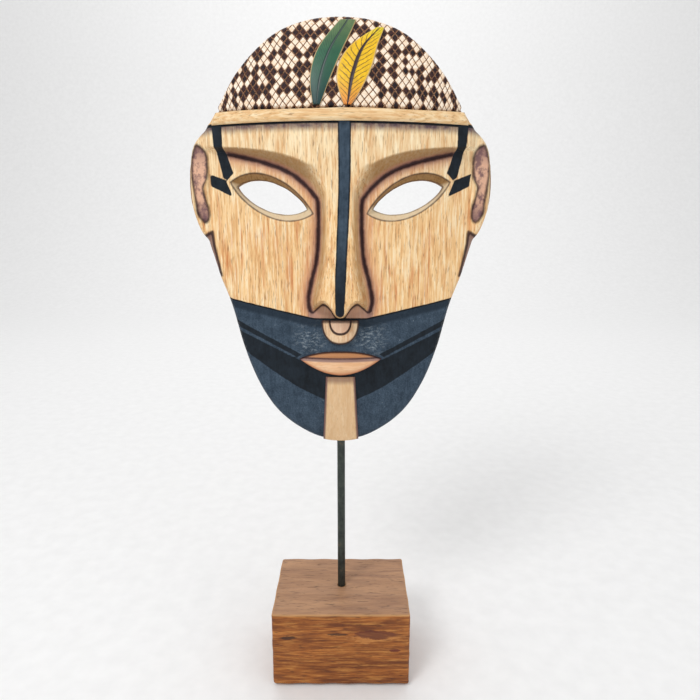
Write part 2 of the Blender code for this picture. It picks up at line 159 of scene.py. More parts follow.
carving = {
    "outline": [(0.000, 0.000), (0.193, 0.015), (0.409, 0.071), (0.555, 0.148), (0.656, 0.238),
                (0.738, 0.347), (0.812, 0.416), (0.870, 0.480), (0.893, 0.506), (0.938, 0.531),
                (0.992, 0.588), (1.000, 0.650), (0.972, 0.713), (0.905, 0.748), (0.822, 0.772),
                (0.756, 0.807), (0.624, 0.884), (0.422, 0.958), (0.218, 0.991), (0.000, 1.000)],
    "outlineCorners": (8, 14),
    "browEdge": [(0.100, 0.640), (0.120, 0.659), (0.207, 0.679), (0.330, 0.696), (0.453, 0.706),
                 (0.578, 0.712), (0.712, 0.716), (0.900, 0.722)],
    "browCrease": [(0.100, 0.560), (0.138, 0.585), (0.165, 0.608), (0.228, 0.633), (0.315, 0.657),
                   (0.446, 0.677), (0.598, 0.692), (0.717, 0.702), (0.900, 0.712)],
    "noseEdge": [(0.310, 0.150), (0.330, 0.188), (0.352, 0.206), (0.375, 0.205), (0.410, 0.186),
                 (0.450, 0.157), (0.500, 0.141), (0.580, 0.138), (0.640, 0.150)],
    "noseRidge": [(0.310, 0.080), (0.352, 0.110), (0.410, 0.080), (0.500, 0.066), (0.640, 0.070)],
    "noseProfile": [(0.330, 0.96), (0.350, 1.00), (0.400, 0.84), (0.480, 0.42), (0.560, 0.10),
                    (0.640, 0.00)],
    "noseBottom": 0.322, "noseLedge": 0.020,
    "cheek": 13.0, "forehead": 24.0, "bridge": 23.0, "noseTip": 36.0,
    "cheekFall": 26.0, "foreheadFall": 31.0, "crownFall": 26.0, "chinFall": 8.0,
    "foreheadSide": 0.885, "foreheadDrop": 0.055,
    "muzzleRise": 5.5, "muzzleCentre": 0.200, "muzzleSpread": (0.32, 0.115),
    "earRise": 6.0, "earEdge": 0.855, "earLow": 0.505, "earTop": 0.762,
    "bandLow": 0.7635, "back": 16.0,
    "chinTurn": 0.15, "foreheadLow": 0.62, "foreheadEase": 0.08,
}


def proudShare(across, up, noseLow):
    c = carving
    edge = smoothThrough(c["browEdge"], across)
    crease = smoothThrough(c["browCrease"], across)
    side = ease((c["foreheadSide"] - across) / c["foreheadDrop"])
    brow = ease((up - crease) / (edge - crease)) * side
    foot = smoothThrough(c["noseEdge"], up)
    ridge = smoothThrough(c["noseRidge"], up)
    ledge = ease((up - noseLow) / c["noseLedge"])
    nose = ease((foot - across) / (foot - ridge)) * ledge
    return np.maximum(brow, nose)


def frontDepth(x, w, noseLow=None):
    # how far back the carved surface lies, in millimetres; nearer the viewer is less
    c = carving
    across, up = np.abs(x) / halfSpan, w / tall
    muzzle = (across / c["muzzleSpread"][0])**2 + ((up - c["muzzleCentre"]) / c["muzzleSpread"][1])**2
    cheek = -c["cheek"] + c["cheekFall"] * across**2 - c["muzzleRise"] * np.exp(-muzzle)
    cheek = cheek + c["chinFall"] * np.clip(1 - up / c["chinTurn"], 0, 1)**2
    crown = np.clip((up - c["bandLow"]) / (1 - c["bandLow"]), 0, 1.1)**2
    forehead = -c["forehead"] + c["foreheadFall"] * across**2 + c["crownFall"] * crown
    reach = smoothThrough(c["noseProfile"], up)
    nose = -c["bridge"] - (c["noseTip"] - c["bridge"]) * reach + c["foreheadFall"] * across**2
    proud = nose + (forehead - nose) * ease((up - c["foreheadLow"]) / c["foreheadEase"])
    share = proudShare(across, up, c["noseBottom"] if noseLow is None else noseLow)
    over = np.clip((across - c["earEdge"]) / (1 - c["earEdge"]), 0, 1)
    along = np.clip((up - c["earLow"]) / (c["earTop"] - c["earLow"]), 0, 1)
    ear = np.sin(math.pi * over).clip(0)**0.7 * np.sin(math.pi * along).clip(0)**0.5
    return cheek + (proud - cheek) * share - c["earRise"] * ear


def faceOutline():
    right = toPlan(carving["outline"])
    left = [(-x, w) for x, w in reversed(right[1:-1])]
    last = len(right) + len(left)
    corners = set(carving["outlineCorners"])
    corners |= {last - i for i in carving["outlineCorners"]}
    return smoothPath(right + left, 8, True, corners)


outlinePath = faceOutline()


def roundOver(distance, radius):
    # drop of a rounded edge, at a distance inside it
    d = np.clip(distance, 0, radius)
    return radius - np.sqrt(np.maximum(radius**2 - (radius - d)**2, 0))


# small tools for meshes

def roundEdges(bm, edges, radius, segments):
    bmesh.ops.bevel(bm, geom=edges, offset=radius, segments=segments, profile=0.5,
                    affect="EDGES", material=-1)


def boxMesh(low, high):
    bm = bmesh.new()
    bmesh.ops.create_cube(bm, size=1.0)
    bmesh.ops.scale(bm, verts=bm.verts, vec=high - low)
    bmesh.ops.translate(bm, verts=bm.verts, vec=(high + low) / 2)
    return bm


def cylinderMesh(radius, depth, middle, sides=40):
    bm = bmesh.new()
    bmesh.ops.create_cone(bm, cap_ends=True, segments=sides, radius1=radius, radius2=radius, depth=depth)
    bmesh.ops.translate(bm, verts=bm.verts, vec=(0, 0, middle))
    return bm


def splitLong(bm, length, cuts):
    long = [e for e in bm.edges if e.calc_length() > length]
    bmesh.ops.subdivide_edges(bm, edges=long, cuts=cuts, use_grid_fill=True)


def edgesBy(bm, test):
    # the edges whose rise from end to end passes the test
    return [e for e in bm.edges if test(abs(e.verts[0].co.z - e.verts[1].co.z))]


def gridMesh(columns, rows):
    bm = bmesh.new()
    bmesh.ops.create_grid(bm, x_segments=columns, y_segments=rows, size=0.5)
    return bm


def planOf(bm):
    return np.array([(v.co.x, v.co.y) for v in bm.verts])


def setPlan(bm, plan):
    for vert, (x, w) in zip(bm.verts, plan):
        vert.co = (x, w, 0)


def keepInside(bm, keep):
    # deletes the faces whose middle fails the test
    middles = np.array([f.calc_center_median()[:2] for f in bm.faces])
    kept = keep(middles)
    lost = [f for f, stays in zip(bm.faces, kept) if not stays]
    bmesh.ops.delete(bm, geom=lost, context="FACES")


def snapEdges(bm, paths):
    # the open edges of a plan are drawn onto the nearest of the paths
    rim = [v for v in bm.verts if v.is_boundary]
    plan = np.array([(v.co.x, v.co.y) for v in rim])
    best = np.full(len(rim), 1e9)
    goal = plan.copy()
    for path in paths:
        distance, spot = nearest(plan, path, 6.0)
        closer = distance < best
        best[closer] = distance[closer]
        goal[closer] = spot[closer]
    for vert, (x, w) in zip(rim, goal):
        vert.co = (x, w, 0)
    beside = [v for v in bm.verts if not v.is_boundary and any(e.other_vert(v).is_boundary
                                                              for e in v.link_edges)]
    for _ in range(2):
        bmesh.ops.smooth_vert(bm, verts=beside, factor=0.5, use_axis_x=True, use_axis_y=True)


def raisePlan(bm, front, back, wallCuts=0):
    # a plan becomes a closed piece: front and back give each depth in millimetres
    behind = bm.verts.layers.float.new("behind")
    grown = bmesh.ops.extrude_face_region(bm, geom=list(bm.faces))["geom"]
    rear = [item for item in grown if isinstance(item, bmesh.types.BMVert)]
    rearSet = set(rear)
    fore = [v for v in bm.verts if v not in rearSet]
    for group, depth, mark in ((fore, front, 0.0), (rear, back, 1.0)):
        plan = np.array([(v.co.x, v.co.y) for v in group])
        for vert, (x, w), y in zip(group, plan, depth(plan)):
            vert.co = (x * mm, y * mm, chinZ + w * mm)
            vert[behind] = mark
    if wallCuts:
        walls = [e for e in bm.edges if (e.verts[0] in rearSet) != (e.verts[1] in rearSet)]
        bmesh.ops.subdivide_edges(bm, edges=walls, cuts=wallCuts, use_grid_fill=True)
    bmesh.ops.recalc_face_normals(bm, faces=bm.faces)


def makeObject(name, bm, sharp=38):
    mesh = bpy.data.meshes.new(name)
    bm.to_mesh(mesh)
    bm.free()
    mesh.shade_smooth()
    mesh.set_sharp_from_angle(angle=math.radians(sharp))
    piece = bpy.data.objects.new(name, mesh)
    bpy.context.scene.collection.objects.link(piece)
    return piece


def meshPlan(mesh):
    places = np.empty(len(mesh.vertices) * 3, np.float32)
    mesh.vertices.foreach_get("co", places)
    places = places.reshape(-1, 3).astype(float)
    return np.stack([places[:, 0] / mm, (places[:, 2] - chinZ) / mm], 1)


def mark(piece, name, values):
    layer = piece.data.attributes.get(name) or piece.data.attributes.new(name, "FLOAT", "POINT")
    layer.data.foreach_set("value", np.asarray(values, np.float32))


def settle(piece, body, slot, material, *nodes):
    piece.data.materials.clear()
    piece.data.materials.append(material)
    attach(piece, body)
    if nodes:
        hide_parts(*nodes)
    print(f"{piece.name}: {len(piece.data.polygons)} faces")


# small tools for materials

def shown(red, green, blue):
    # a colour as the eye names it, 0 to 255, turned to the linear values that nodes use
    def linear(value):
        value /= 255
        return value / 12.92 if value <= 0.04045 else ((value + 0.055) / 1.055)**2.4
    return linear(red), linear(green), linear(blue), 1.0


class Graph:
    # short ways to add and join nodes in one node tree
    def __init__(self, tree):
        self.tree = tree

    def node(self, kind, values=None, **settings):
        made = self.tree.nodes.new(kind)
        for key, value in settings.items():
            setattr(made, key, value)
        for key, value in (values or {}).items():
            self.feed(made.inputs[key], value)
        return made

    def feed(self, socket, value):
        if isinstance(value, bpy.types.NodeSocket):
            self.tree.links.new(value, socket)
        elif value is not None:
            socket.default_value = value

    def math(self, operation, a, b=None, c=None):
        return self.node("ShaderNodeMath", {0: a, 1: b, 2: c}, operation=operation).outputs[0]

    def times(self, a, b):
        return self.math("MULTIPLY", a, b)

    def minus(self, a, b):
        return self.math("SUBTRACT", a, b)

    def size(self, a):
        return self.math("ABSOLUTE", a)

    def mix(self, factor, a, b):
        made = self.node("ShaderNodeMix", data_type="RGBA", clamp_factor=True)
        self.feed(made.inputs[0], factor)
        self.feed(made.inputs[6], a)
        self.feed(made.inputs[7], b)
        return made.outputs[2]

    def coats(self, colour, *layers):
        # one colour after another over the first, each where its mask lies
        for mask, ink in layers:
            colour = self.mix(mask, colour, ink)
        return colour

    def span(self, value, low, high, toLow=0.0, toHigh=1.0, smooth=False):
        made = self.node("ShaderNodeMapRange", {0: value, 1: low, 2: high, 3: toLow, 4: toHigh},
                         interpolation_type="SMOOTHSTEP" if smooth else "LINEAR")
        return made.outputs[0]

    def attribute(self, name):
        return self.node("ShaderNodeAttribute", attribute_name=name).outputs["Fac"]

    def stretch(self, vector, scale, rotation=(0, 0, 0)):
        made = self.node("ShaderNodeMapping", {"Vector": vector, "Scale": scale, "Rotation": rotation})
        return made.outputs[0]

    def place(self, scale=(1, 1, 1), rotation=(0, 0, 0)):
        return self.stretch(self.node("ShaderNodeTexCoord").outputs["Object"], scale, rotation)

    def vector(self, operation, a, b):
        return self.node("ShaderNodeVectorMath", {0: a, 1: b}, operation=operation).outputs[0]

    def bump(self, shader, height, strength, distance):
        made = self.node("ShaderNodeBump", {"Height": height, "Strength": strength, "Distance": distance})
        self.feed(shader["Normal"], made.outputs[0])

    def noise(self, vector, scale=1.0, detail=3.0, roughness=0.55, distortion=0.0):
        made = self.node("ShaderNodeTexNoise", {"Vector": vector, "Scale": scale, "Detail": detail,
                                                "Roughness": roughness, "Distortion": distortion})
        return made.outputs["Fac"]

    def group(self, group, **values):
        made = self.node("ShaderNodeGroup", node_tree=group)
        for key, value in values.items():
            self.feed(made.inputs[key], value)
        return made.outputs


def newGroup(name, inputs, outputs):
    group = bpy.data.node_groups.new(name, "ShaderNodeTree")
    for label, kind, value in inputs:
        socket = group.interface.new_socket(name=label, in_out="INPUT", socket_type=kind)
        if value is not None:
            socket.default_value = value
    for label, kind in outputs:
        group.interface.new_socket(name=label, in_out="OUTPUT", socket_type=kind)
    graph = Graph(group)
    given = group.nodes.new("NodeGroupInput").outputs
    result = group.nodes.new("NodeGroupOutput").inputs
    return group, graph, given, result


def newMaterial(name, roughness=0.6, specular=0.5):
    material = bpy.data.materials.new(name)
    material.use_nodes = True
    shader = material.node_tree.nodes["Principled BSDF"]
    shader.inputs["Roughness"].default_value = roughness
    shader.inputs["Specular IOR Level"].default_value = specular
    return material, Graph(material.node_tree), shader.inputs


# effects that several finishes share

def makeWoodGrain():
    # Tone is the slow streaks, Stroke the short bright and dark dashes, Pore the dark pits
    group, g, given, result = newGroup(
        "wood grain",
        [("Vector", "NodeSocketVector", None), ("Seed", "NodeSocketFloat", 0.0)],
        [("Tone", "NodeSocketFloat"), ("Stroke", "NodeSocketFloat"), ("Red", "NodeSocketFloat"),
         ("Pore", "NodeSocketFloat")])
    shift = g.node("ShaderNodeCombineXYZ", {0: given["Seed"], 1: given["Seed"], 2: given["Seed"]})
    place = g.vector("ADD", given["Vector"], shift.outputs[0])
    wide = g.stretch(place, (110, 70, 8))
    fine = g.stretch(place, (620, 420, 48))
    pits = g.stretch(place, (1100, 800, 110))
    g.feed(result["Tone"], g.span(g.noise(wide, 1.0, 4.0, 0.6, 0.4), 0.32, 0.68))
    g.feed(result["Stroke"], g.span(g.noise(fine, 1.0, 3.0, 0.65, 0.2), 0.34, 0.66))
    reds = g.stretch(place, (430, 260, 26))
    g.feed(result["Red"], g.span(g.noise(reds, 1.0, 4.0, 0.6, 0.3), 0.53, 0.68))
    g.feed(result["Pore"], g.span(g.noise(pits, 1.0, 2.0, 0.6), 0.58, 0.70))
    return group


def makeHandEdge():
    # a painted or burnt edge: Distance is in millimetres, above nought where the colour lies
    group, g, given, result = newGroup(
        "hand edge",
        [("Distance", "NodeSocketFloat", 0.0), ("Softness", "NodeSocketFloat", 0.3),
         ("Wobble", "NodeSocketFloat", 0.5)],
        [("Mask", "NodeSocketFloat")])
    slow = g.noise(g.place(), 180.0, 3.0, 0.6)
    shift = g.times(g.minus(slow, 0.5), given["Wobble"])
    moved = g.math("MULTIPLY_ADD", shift, 2.0, given["Distance"])
    soft = g.times(given["Softness"], -1.0)
    g.feed(result["Mask"], g.span(moved, soft, given["Softness"], smooth=True))
    return group


def makeBrushedPaint():
    # a brushed coat over wood: Tone varies its colour, Bare is where grain shows, Height its ridges
    group, g, given, result = newGroup(
        "brushed paint", [("Scale", "NodeSocketFloat", 1.0)],
        [("Tone", "NodeSocketFloat"), ("Bare", "NodeSocketFloat"), ("Height", "NodeSocketFloat")])
    place = g.node("ShaderNodeVectorMath", {0: g.place(), "Scale": given["Scale"]},
                   operation="SCALE").outputs[0]
    stretched = g.stretch(place, (420, 300, 110))
    blotch = g.noise(place, 110.0, 5.0, 0.65)
    strokes = g.noise(stretched, 1.0, 4.0, 0.7)
    flecks = g.noise(place, 900.0, 2.0, 0.6)
    g.feed(result["Tone"], g.span(g.math("ADD", g.times(blotch, 0.6),
                                         g.times(strokes, 0.4)), 0.36, 0.64))
    g.feed(result["Bare"], g.times(g.span(flecks, 0.66, 0.74),
                                  g.span(blotch, 0.48, 0.62)))
    g.feed(result["Height"], strokes)
    return group


woodGrain = makeWoodGrain()
handEdge = makeHandEdge()
brushedPaint = makeBrushedPaint()
print("shared effects made")


# camera, light and floor

view = {"lens": 29.93, "place": (0.0072, -0.444, 0.366), "tiltDown": 12.12}
studio = {"sky": 0.66, "key": 7.6, "keyPlace": (-0.60, -0.85, 1.25), "keySize": 0.55,
          "fill": 1.4, "fillPlace": (0.85, -0.75, 0.55), "fillSize": 0.9,
          "wall": 20.0, "wallPlace": (0.0, 1.1, 2.3), "wallSize": 2.0, "wallAim": (0.0, 2.8, 0.7),
          "aim": (0, 0, 0.3), "floor": (0.92, 0.92, 0.92), "speck": (0.88, 0.88, 0.88)}


def placeCamera():
    camera = bpy.data.objects.new("camera", bpy.data.cameras.new("camera"))
    bpy.context.scene.collection.objects.link(camera)
    camera.data.lens = view["lens"]
    camera.data.sensor_width = 36
    camera.data.clip_start = 0.01
    camera.location = view["place"]
    camera.rotation_euler = (math.radians(90 - view["tiltDown"]), 0, 0)
    bpy.context.scene.camera = camera


def placeLamp(name, aim):
    lamp = bpy.data.lights.new(name, "AREA")
    lamp.energy = studio[name]
    lamp.shape = "DISK"
    lamp.size = studio[name + "Size"]
    made = bpy.data.objects.new(name, lamp)
    bpy.context.scene.collection.objects.link(made)
    made.location = studio[name + "Place"]
    way = Vector(aim) - made.location
    made.rotation_euler = way.to_track_quat("-Z", "Y").to_euler()


def makeStudio():
    bpy.context.scene.view_settings.view_transform = "Standard"
    world = bpy.data.worlds.new("studio")
    bpy.context.scene.world = world
    world.use_nodes = True
    sky = world.node_tree.nodes["Background"].inputs
    sky["Color"].default_value = (1, 1, 1, 1)
    sky["Strength"].default_value = studio["sky"]
    placeLamp("key", studio["aim"])
    placeLamp("fill", studio["aim"])
    placeLamp("wall", studio["wallAim"])
    bm = bmesh.new()
    bmesh.ops.create_grid(bm, x_segments=1, y_segments=1, size=3.0)
    far = [e for e in bm.edges if all(v.co.y > 2.9 for v in e.verts)]
    grown = bmesh.ops.extrude_edge_only(bm, edges=far)["geom"]
    bmesh.ops.translate(bm, verts=[v for v in grown if isinstance(v, bmesh.types.BMVert)], vec=(0, 0, 3))
    roundEdges(bm, far, 1.2, 16)
    floor = makeObject("floor", bm, 60)
    material, g, shader = newMaterial("pale floor", 0.85, 0.2)
    speck = g.noise(g.place(), 60.0, 2.0)
    g.feed(shader["Base Color"], g.mix(g.span(speck, 0.3, 0.7), (*studio["floor"], 1), (*studio["speck"], 1)))
    floor.data.materials.append(material)


placeCamera()
makeStudio()
print("camera, light and floor placed")


# the carved face

face = {
    "columns": 204, "rows": 276, "edgeRadius": 3.4, "backRadius": 2.0,
    "eyeInner": (0.210, 0.5755), "eyeOuter": (0.6705, 0.629),
    "eyeTop": [(0.290, 0.624), (0.510, 0.6655)], "eyeLow": [(0.615, 0.5915), (0.387, 0.540)],
    "flare": (1.17, 1.38), "lidDepth": 5.0,
    "hollowDepth": 20.0, "sideRim": 30.0, "chinRim": 53.0, "crownRim": 34.0,
    "creaseDepth": 0.7, "pocket": 6.1, "pocketLow": 246.0,
    "nostrils": [(0, 99), (3, 100), (8, 107), (13, 110), (17, 107), (21, 104), (24, 106)],
    "earHollow": [(105, 225), (99, 219), (99, 203), (102, 194), (99, 180), (99, 173), (102, 170),
                  (107, 176), (108, 185), (110, 197), (111, 211), (108, 223)],
    "earHollowDepth": 2.8,
    "underEar": [(102, 160), (97, 163), (96, 153), (93, 139), (91, 130), (99, 136), (110, 158)],
    "socketRadius": 3.5, "socketDepth": 40.3,
    "earMiddle": 199, "earEnds": (12, 24), "bandFoot": 237.4, "eyeTilt": (0.316, 172.5),
    "slopeSpan": (0.10, 0.77), "nostrilEnd": 24, "nostrilLow": 96,
}

# painted shapes on the right half of the face
painting = {
    "slateTop": [(20, 100), (83, 113)],
    "blackBand": [(-3, 66), (32, 68), (90, 94), (88, 82), (52, 58), (32, 46), (10, 36), (-3, 36)],
    "thinStripe": [(29, 72), (60, 87), (92, 103), (92, 98), (60, 83), (33, 70)],
    "foreMark": [(92, 238), (91, 222), (86, 202), (83, 200), (78, 205), (84, 222), (84, 238)],
    "sideMark": [(97, 205), (96, 196), (79, 188), (84, 200)],
    "stripeLean": 3.4,
    "middleStripe": [(102, 0.8), (105, 2.6), (112, 3.2), (150, 4.0), (190, 4.2), (238, 4.6)],
    # the middle of the painted highlight round the ring, across and up in millimetres
    "ringHighlightSpot": (22, 84),
}


def bezier(a, b, c, d, steps):
    t = np.linspace(0, 1, steps, endpoint=False)[:, None]
    a, b, c, d = (np.array(p, float) for p in (a, b, c, d))
    return (1 - t)**3 * a + 3 * (1 - t)**2 * t * b + 3 * (1 - t) * t**2 * c + t**3 * d


def almond(flareX=1.0, flareZ=1.0, steps=22):
    inner, outer = toPlan([face["eyeInner"], face["eyeOuter"]])
    top, low = toPlan(face["eyeTop"]), toPlan(face["eyeLow"])
    ring = np.concatenate([bezier(inner, *top, outer, steps), bezier(outer, *low, inner, steps)])
    middle = (np.array(inner) + np.array(outer)) / 2
    ring = middle + (ring - middle) * (flareX, flareZ)
    return closedPath(ring)


eyeHole, eyeRim = almond(), almond(*face["flare"])
earHollow = smoothPath(face["earHollow"], 5, True)
underEar = closedPath(face["underEar"])
browPath = smoothPath(toPlan(carving["browEdge"][:-1] + [(0.80, 0.718)]), 5)
creasePath = smoothPath(toPlan([p for p in reversed(carving["browCrease"][:-1]) if p[0] > 0.12]
                               + [(a, u) for u, a in reversed(carving["noseEdge"][1:-2])]), 5)


def carvedFront(plan):
    x, w = plan[:, 0], plan[:, 1]
    folded = np.stack([np.abs(x), w], 1)
    edge = nearest(plan, outlinePath, 6.0)[0]
    depth = frontDepth(x, w, smoothThrough(face["nostrils"], np.abs(x)) / tall)
    depth = depth + roundOver(edge, face["edgeRadius"])
    crease = nearest(folded, creasePath, 6.0)[0]
    depth = depth + face["creaseDepth"] * np.exp(-(crease / 1.1)**2)
    rimIn = signedDistance(folded, eyeRim)
    holeOut = np.maximum(-signedDistance(folded, eyeHole), 0)
    flare = np.where(rimIn > 0, rimIn / (rimIn + holeOut + 0.001), 0)
    depth = depth + face["lidDepth"] * flare**0.9 - 0.5 * np.exp(-((rimIn + 1.6) / 1.3)**2)
    hollow = signedDistance(folded, earHollow)
    depth = depth + face["earHollowDepth"] * ease((hollow + 0.6) / 3.2)
    depth = depth + 1.6 * ease((signedDistance(folded, underEar) + 0.3) / 5.0)
    # shallow gouge marks, and fine lines cut along the edges of the paint
    depth = depth + 0.10 * ripple(x, w * 0.45, 5.0) + 0.05 * ripple(x * 1.6, w * 0.5, 2.1, 2.0)
    shapes = paintDistances(plan)
    for name in ("slate", "black", "stripe"):
        depth = depth + 0.28 * np.exp(-(shapes[name] / 0.7)**2)
    return np.where(w > face["pocketLow"], depth + face["pocket"], depth)


def slateLine(x):
    (x0, w0), (x1, w1) = painting["slateTop"]
    return w0 + (np.maximum(x, x0) - x0) * (w1 - w0) / (x1 - x0)


def paintDistances(plan):
    # millimetres inside each painted shape; all but the stripe are the same on both halves
    folded = np.abs(plan)
    x, w = folded[:, 0], plan[:, 1]
    black = signedDistance(folded, closedPath(painting["blackBand"]))
    thin = signedDistance(folded, closedPath(painting["thinStripe"]))
    half = smoothThrough(painting["middleStripe"], w)
    foot = painting["middleStripe"][0][0]
    beside = np.abs(plan[:, 0] - painting["stripeLean"] * ease((w - foot) / 110))
    stripe = np.where(w < foot, -np.hypot(beside, foot - w), half - beside)
    marks = np.maximum(signedDistance(folded, closedPath(painting["foreMark"])),
                       signedDistance(folded, closedPath(painting["sideMark"])))
    return {"slate": (slateLine(x) - w) * 0.98, "black": np.maximum(black, thin), "stripe": stripe,
            "marks": marks}


def scoopDepth(x, w):
    halfWide = halfSpan - face["sideRim"]
    halfTall = (tall - face["chinRim"] - face["crownRim"]) / 2
    middle = face["chinRim"] + halfTall
    share = (x / halfWide)**2 + ((w - middle) / halfTall)**2
    return face["hollowDepth"] * np.sqrt(np.clip(1 - share, 0, 1))


def gougeShare(x, w):
    # 0 on the ridges that the gouge leaves, 1 in the middle of its cuts
    return np.abs(np.sin(x / 4.6 + 0.9 * np.sin(w / 17) + 0.5 * np.sin(w / 5.3 + x / 9)))


def carvedBack(plan):
    x, w = plan[:, 0], plan[:, 1]
    scoop = scoopDepth(x, w)
    gouges = (0.6 * gougeShare(x, w) + 0.15 * ripple(x, w, 6.0)) * ease(scoop / 6)
    rim = roundOver(nearest(plan, outlinePath, 6.0)[0], face["backRadius"])
    uneven = 0.05 * ripple(x, w * 0.5, 3.0, 1.0)
    return carving["back"] - scoop - rim + gouges - 0.6 * ease(scoop / 6) + uneven


def packedLines(low, high, count, spots, spread):
    fine = np.linspace(low, high, 3001)
    density = 1 + sum(1.1 * np.exp(-(((fine - s) / spread)**2)) for s in spots)
    total = np.concatenate([[0], np.cumsum((density[1:] + density[:-1]) / 2)])
    return np.interp(np.linspace(0, total[-1], count), total, fine)


def makeFaceMesh():
    columns = packedLines(-116, 116, face["columns"] + 1, (-49, -18, 18, 49), 16)
    rows = packedLines(-2, 313, face["rows"] + 1, (105, 190, 212), 16)
    bm = gridMesh(face["columns"], face["rows"])
    unit = planOf(bm) + 0.5
    plan = np.stack([columns[np.rint(unit[:, 0] * face["columns"]).astype(int)],
                     rows[np.rint(unit[:, 1] * face["rows"]).astype(int)]], 1)
    # grid points beside a carved line move onto it, so that the line is crisp
    for path in (creasePath, mirrored(creasePath), browPath, mirrored(browPath), eyeRim,
                 mirrored(eyeRim)):
        distance, spot = nearest(plan, path, 3.0)
        close = distance < 0.46
        plan[close] = spot[close]
    setPlan(bm, plan)
    holes = (eyeHole, mirrored(eyeHole))
    keepInside(bm, lambda p: inside(p, outlinePath) & ~inside(p, holes[0]) & ~inside(p, holes[1]))
    snapEdges(bm, (outlinePath, *holes))
    raisePlan(bm, carvedFront, carvedBack, 4)
    return bm


def roughenWalls(bm):
    # the sawn edge of the board, left with the marks of the knife
    behind = bm.verts.layers.float["behind"]
    walls = [v for v in bm.verts if 0.02 < v[behind] < 0.98]
    for v in walls:
        x, w = v.co.x / mm, (v.co.z - chinZ) / mm
        wave = 0.22 * math.sin(x / 2.7 + v[behind] * 3) * math.sin(w / 3.3 + v[behind] * 2)
        outward = v.normal
        v.co += Vector((outward.x, 0, outward.z)) * wave * mm


def makeFace(material):
    bm = makeFaceMesh()
    bm.normal_update()
    roughenWalls(bm)
    piece = makeObject("carved_face", bm, 32)
    drillSocket(piece)
    plan = meshPlan(piece.data)
    folded = np.stack([np.abs(plan[:, 0]), plan[:, 1]], 1)
    x, w = folded[:, 0], folded[:, 1]
    for name, distance in paintDistances(plan).items():
        mark(piece, name, distance)
    across, up = x / halfSpan, w / tall
    edge = smoothThrough(carving["browEdge"], across)
    crease = smoothThrough(carving["browCrease"], across)
    # the brow slope, which faces down: a mask for the painted shade on it
    start, end = face["slopeSpan"]
    run = edge - crease
    slope = ease((up - crease) / run * 6) * ease((edge - up) / run * 8)
    slope = np.where((across < end) & (across > start), slope, 0)
    mark(piece, "slope", slope * ease((end - across) / 0.05) * ease((across - start - 0.01) / 0.12))
    mark(piece, "creaseGap", nearest(folded, creasePath, 12.0)[0])
    mark(piece, "proud", proudShare(across, up, carving["noseBottom"]))
    mark(piece, "rimIn", signedDistance(folded, eyeRim))
    mark(piece, "holeOut", -signedDistance(folded, eyeHole))
    mark(piece, "earHollow", signedDistance(folded, earHollow))
    mark(piece, "underEar", signedDistance(folded, underEar))
    nostril = smoothThrough(face["nostrils"], x) - w
    mark(piece, "nostril", np.where((x < face["nostrilEnd"]) & (w > face["nostrilLow"]), nostril, -12))
    scoop = scoopDepth(x, w)
    mark(piece, "scoop", scoop / face["hollowDepth"])
    mark(piece, "gouge", np.where(scoop > 3, gougeShare(plan[:, 0], w), 1))
    mark(piece, "height", w)
    mark(piece, "across", x)
    settle(piece, "mask", "face_wood", material, "face")
    return piece


def cutAway(piece, bm):
    # cuts a closed shape from a piece and keeps the result as its mesh
    drill = makeObject("drill", bm)
    cut = piece.modifiers.new("cut", "BOOLEAN")
    cut.operation = "DIFFERENCE"
    cut.solver = "MANIFOLD"
    cut.object = drill
    bpy.context.view_layer.update()
    graph = bpy.context.evaluated_depsgraph_get()
    mesh = bpy.data.meshes.new_from_object(piece.evaluated_get(graph), preserve_all_data_layers=True,
                                           depsgraph=graph)
    piece.modifiers.clear()
    piece.data = mesh
    bpy.data.objects.remove(drill, do_unlink=True)


def drillSocket(piece):
    cutAway(piece, cylinderMesh(face["socketRadius"] * mm, 2 * face["socketDepth"] * mm, chinZ))


faceColours = {
    "cream": shown(248, 226, 184), "tan": shown(226, 184, 130), "cheek": shown(246, 206, 150),
    "bright": shown(255, 240, 206), "deep": shown(206, 148, 92), "streak": shown(196, 104, 48),
    "pore": shown(108, 66, 38), "burn": shown(46, 28, 32), "halo": shown(128, 84, 84),
    # the brow slope colour and the upper eye bevel colour are painted shade; the lower eye bevel colour on
    # the next line is painted light
    "slope": shown(146, 108, 64), "lid": shown(216, 152, 118), "bevel": shown(136, 98, 52),
    "litLowBevel": shown(224, 204, 170), "slate": shown(40, 54, 68), "slateLight": shown(70, 86, 102),
    "slateDark": shown(24, 36, 48), "fleck": shown(160, 172, 180), "black": shown(14, 20, 26),
    "blackLight": shown(40, 50, 60), "bare": shown(186, 142, 94), "bareDark": shown(140, 98, 60),
    "ear": shown(222, 176, 148), "gouge": shown(92, 60, 36), "shade": shown(92, 74, 82),
    "nostril": shown(176, 138, 124), "earShade": shown(112, 82, 88),
}


def paleWood(g, grain, light, dark, reds):
    # golden wood with fibres; reds is how much of the orange streaks shows
    c = faceColours
    wood = g.mix(g.times(grain["Tone"], 0.6), light, dark)
    wood = g.coats(
        wood,
        (g.times(g.span(grain["Stroke"], 0.52, 1.0), 0.7), c["bright"]),
        (g.times(g.span(grain["Stroke"], 0.5, 0.0), 0.65), c["deep"]),
        (g.times(grain["Red"], reds), c["streak"]))
    return g.mix(g.times(grain["Pore"], 0.6), wood, c["pore"])


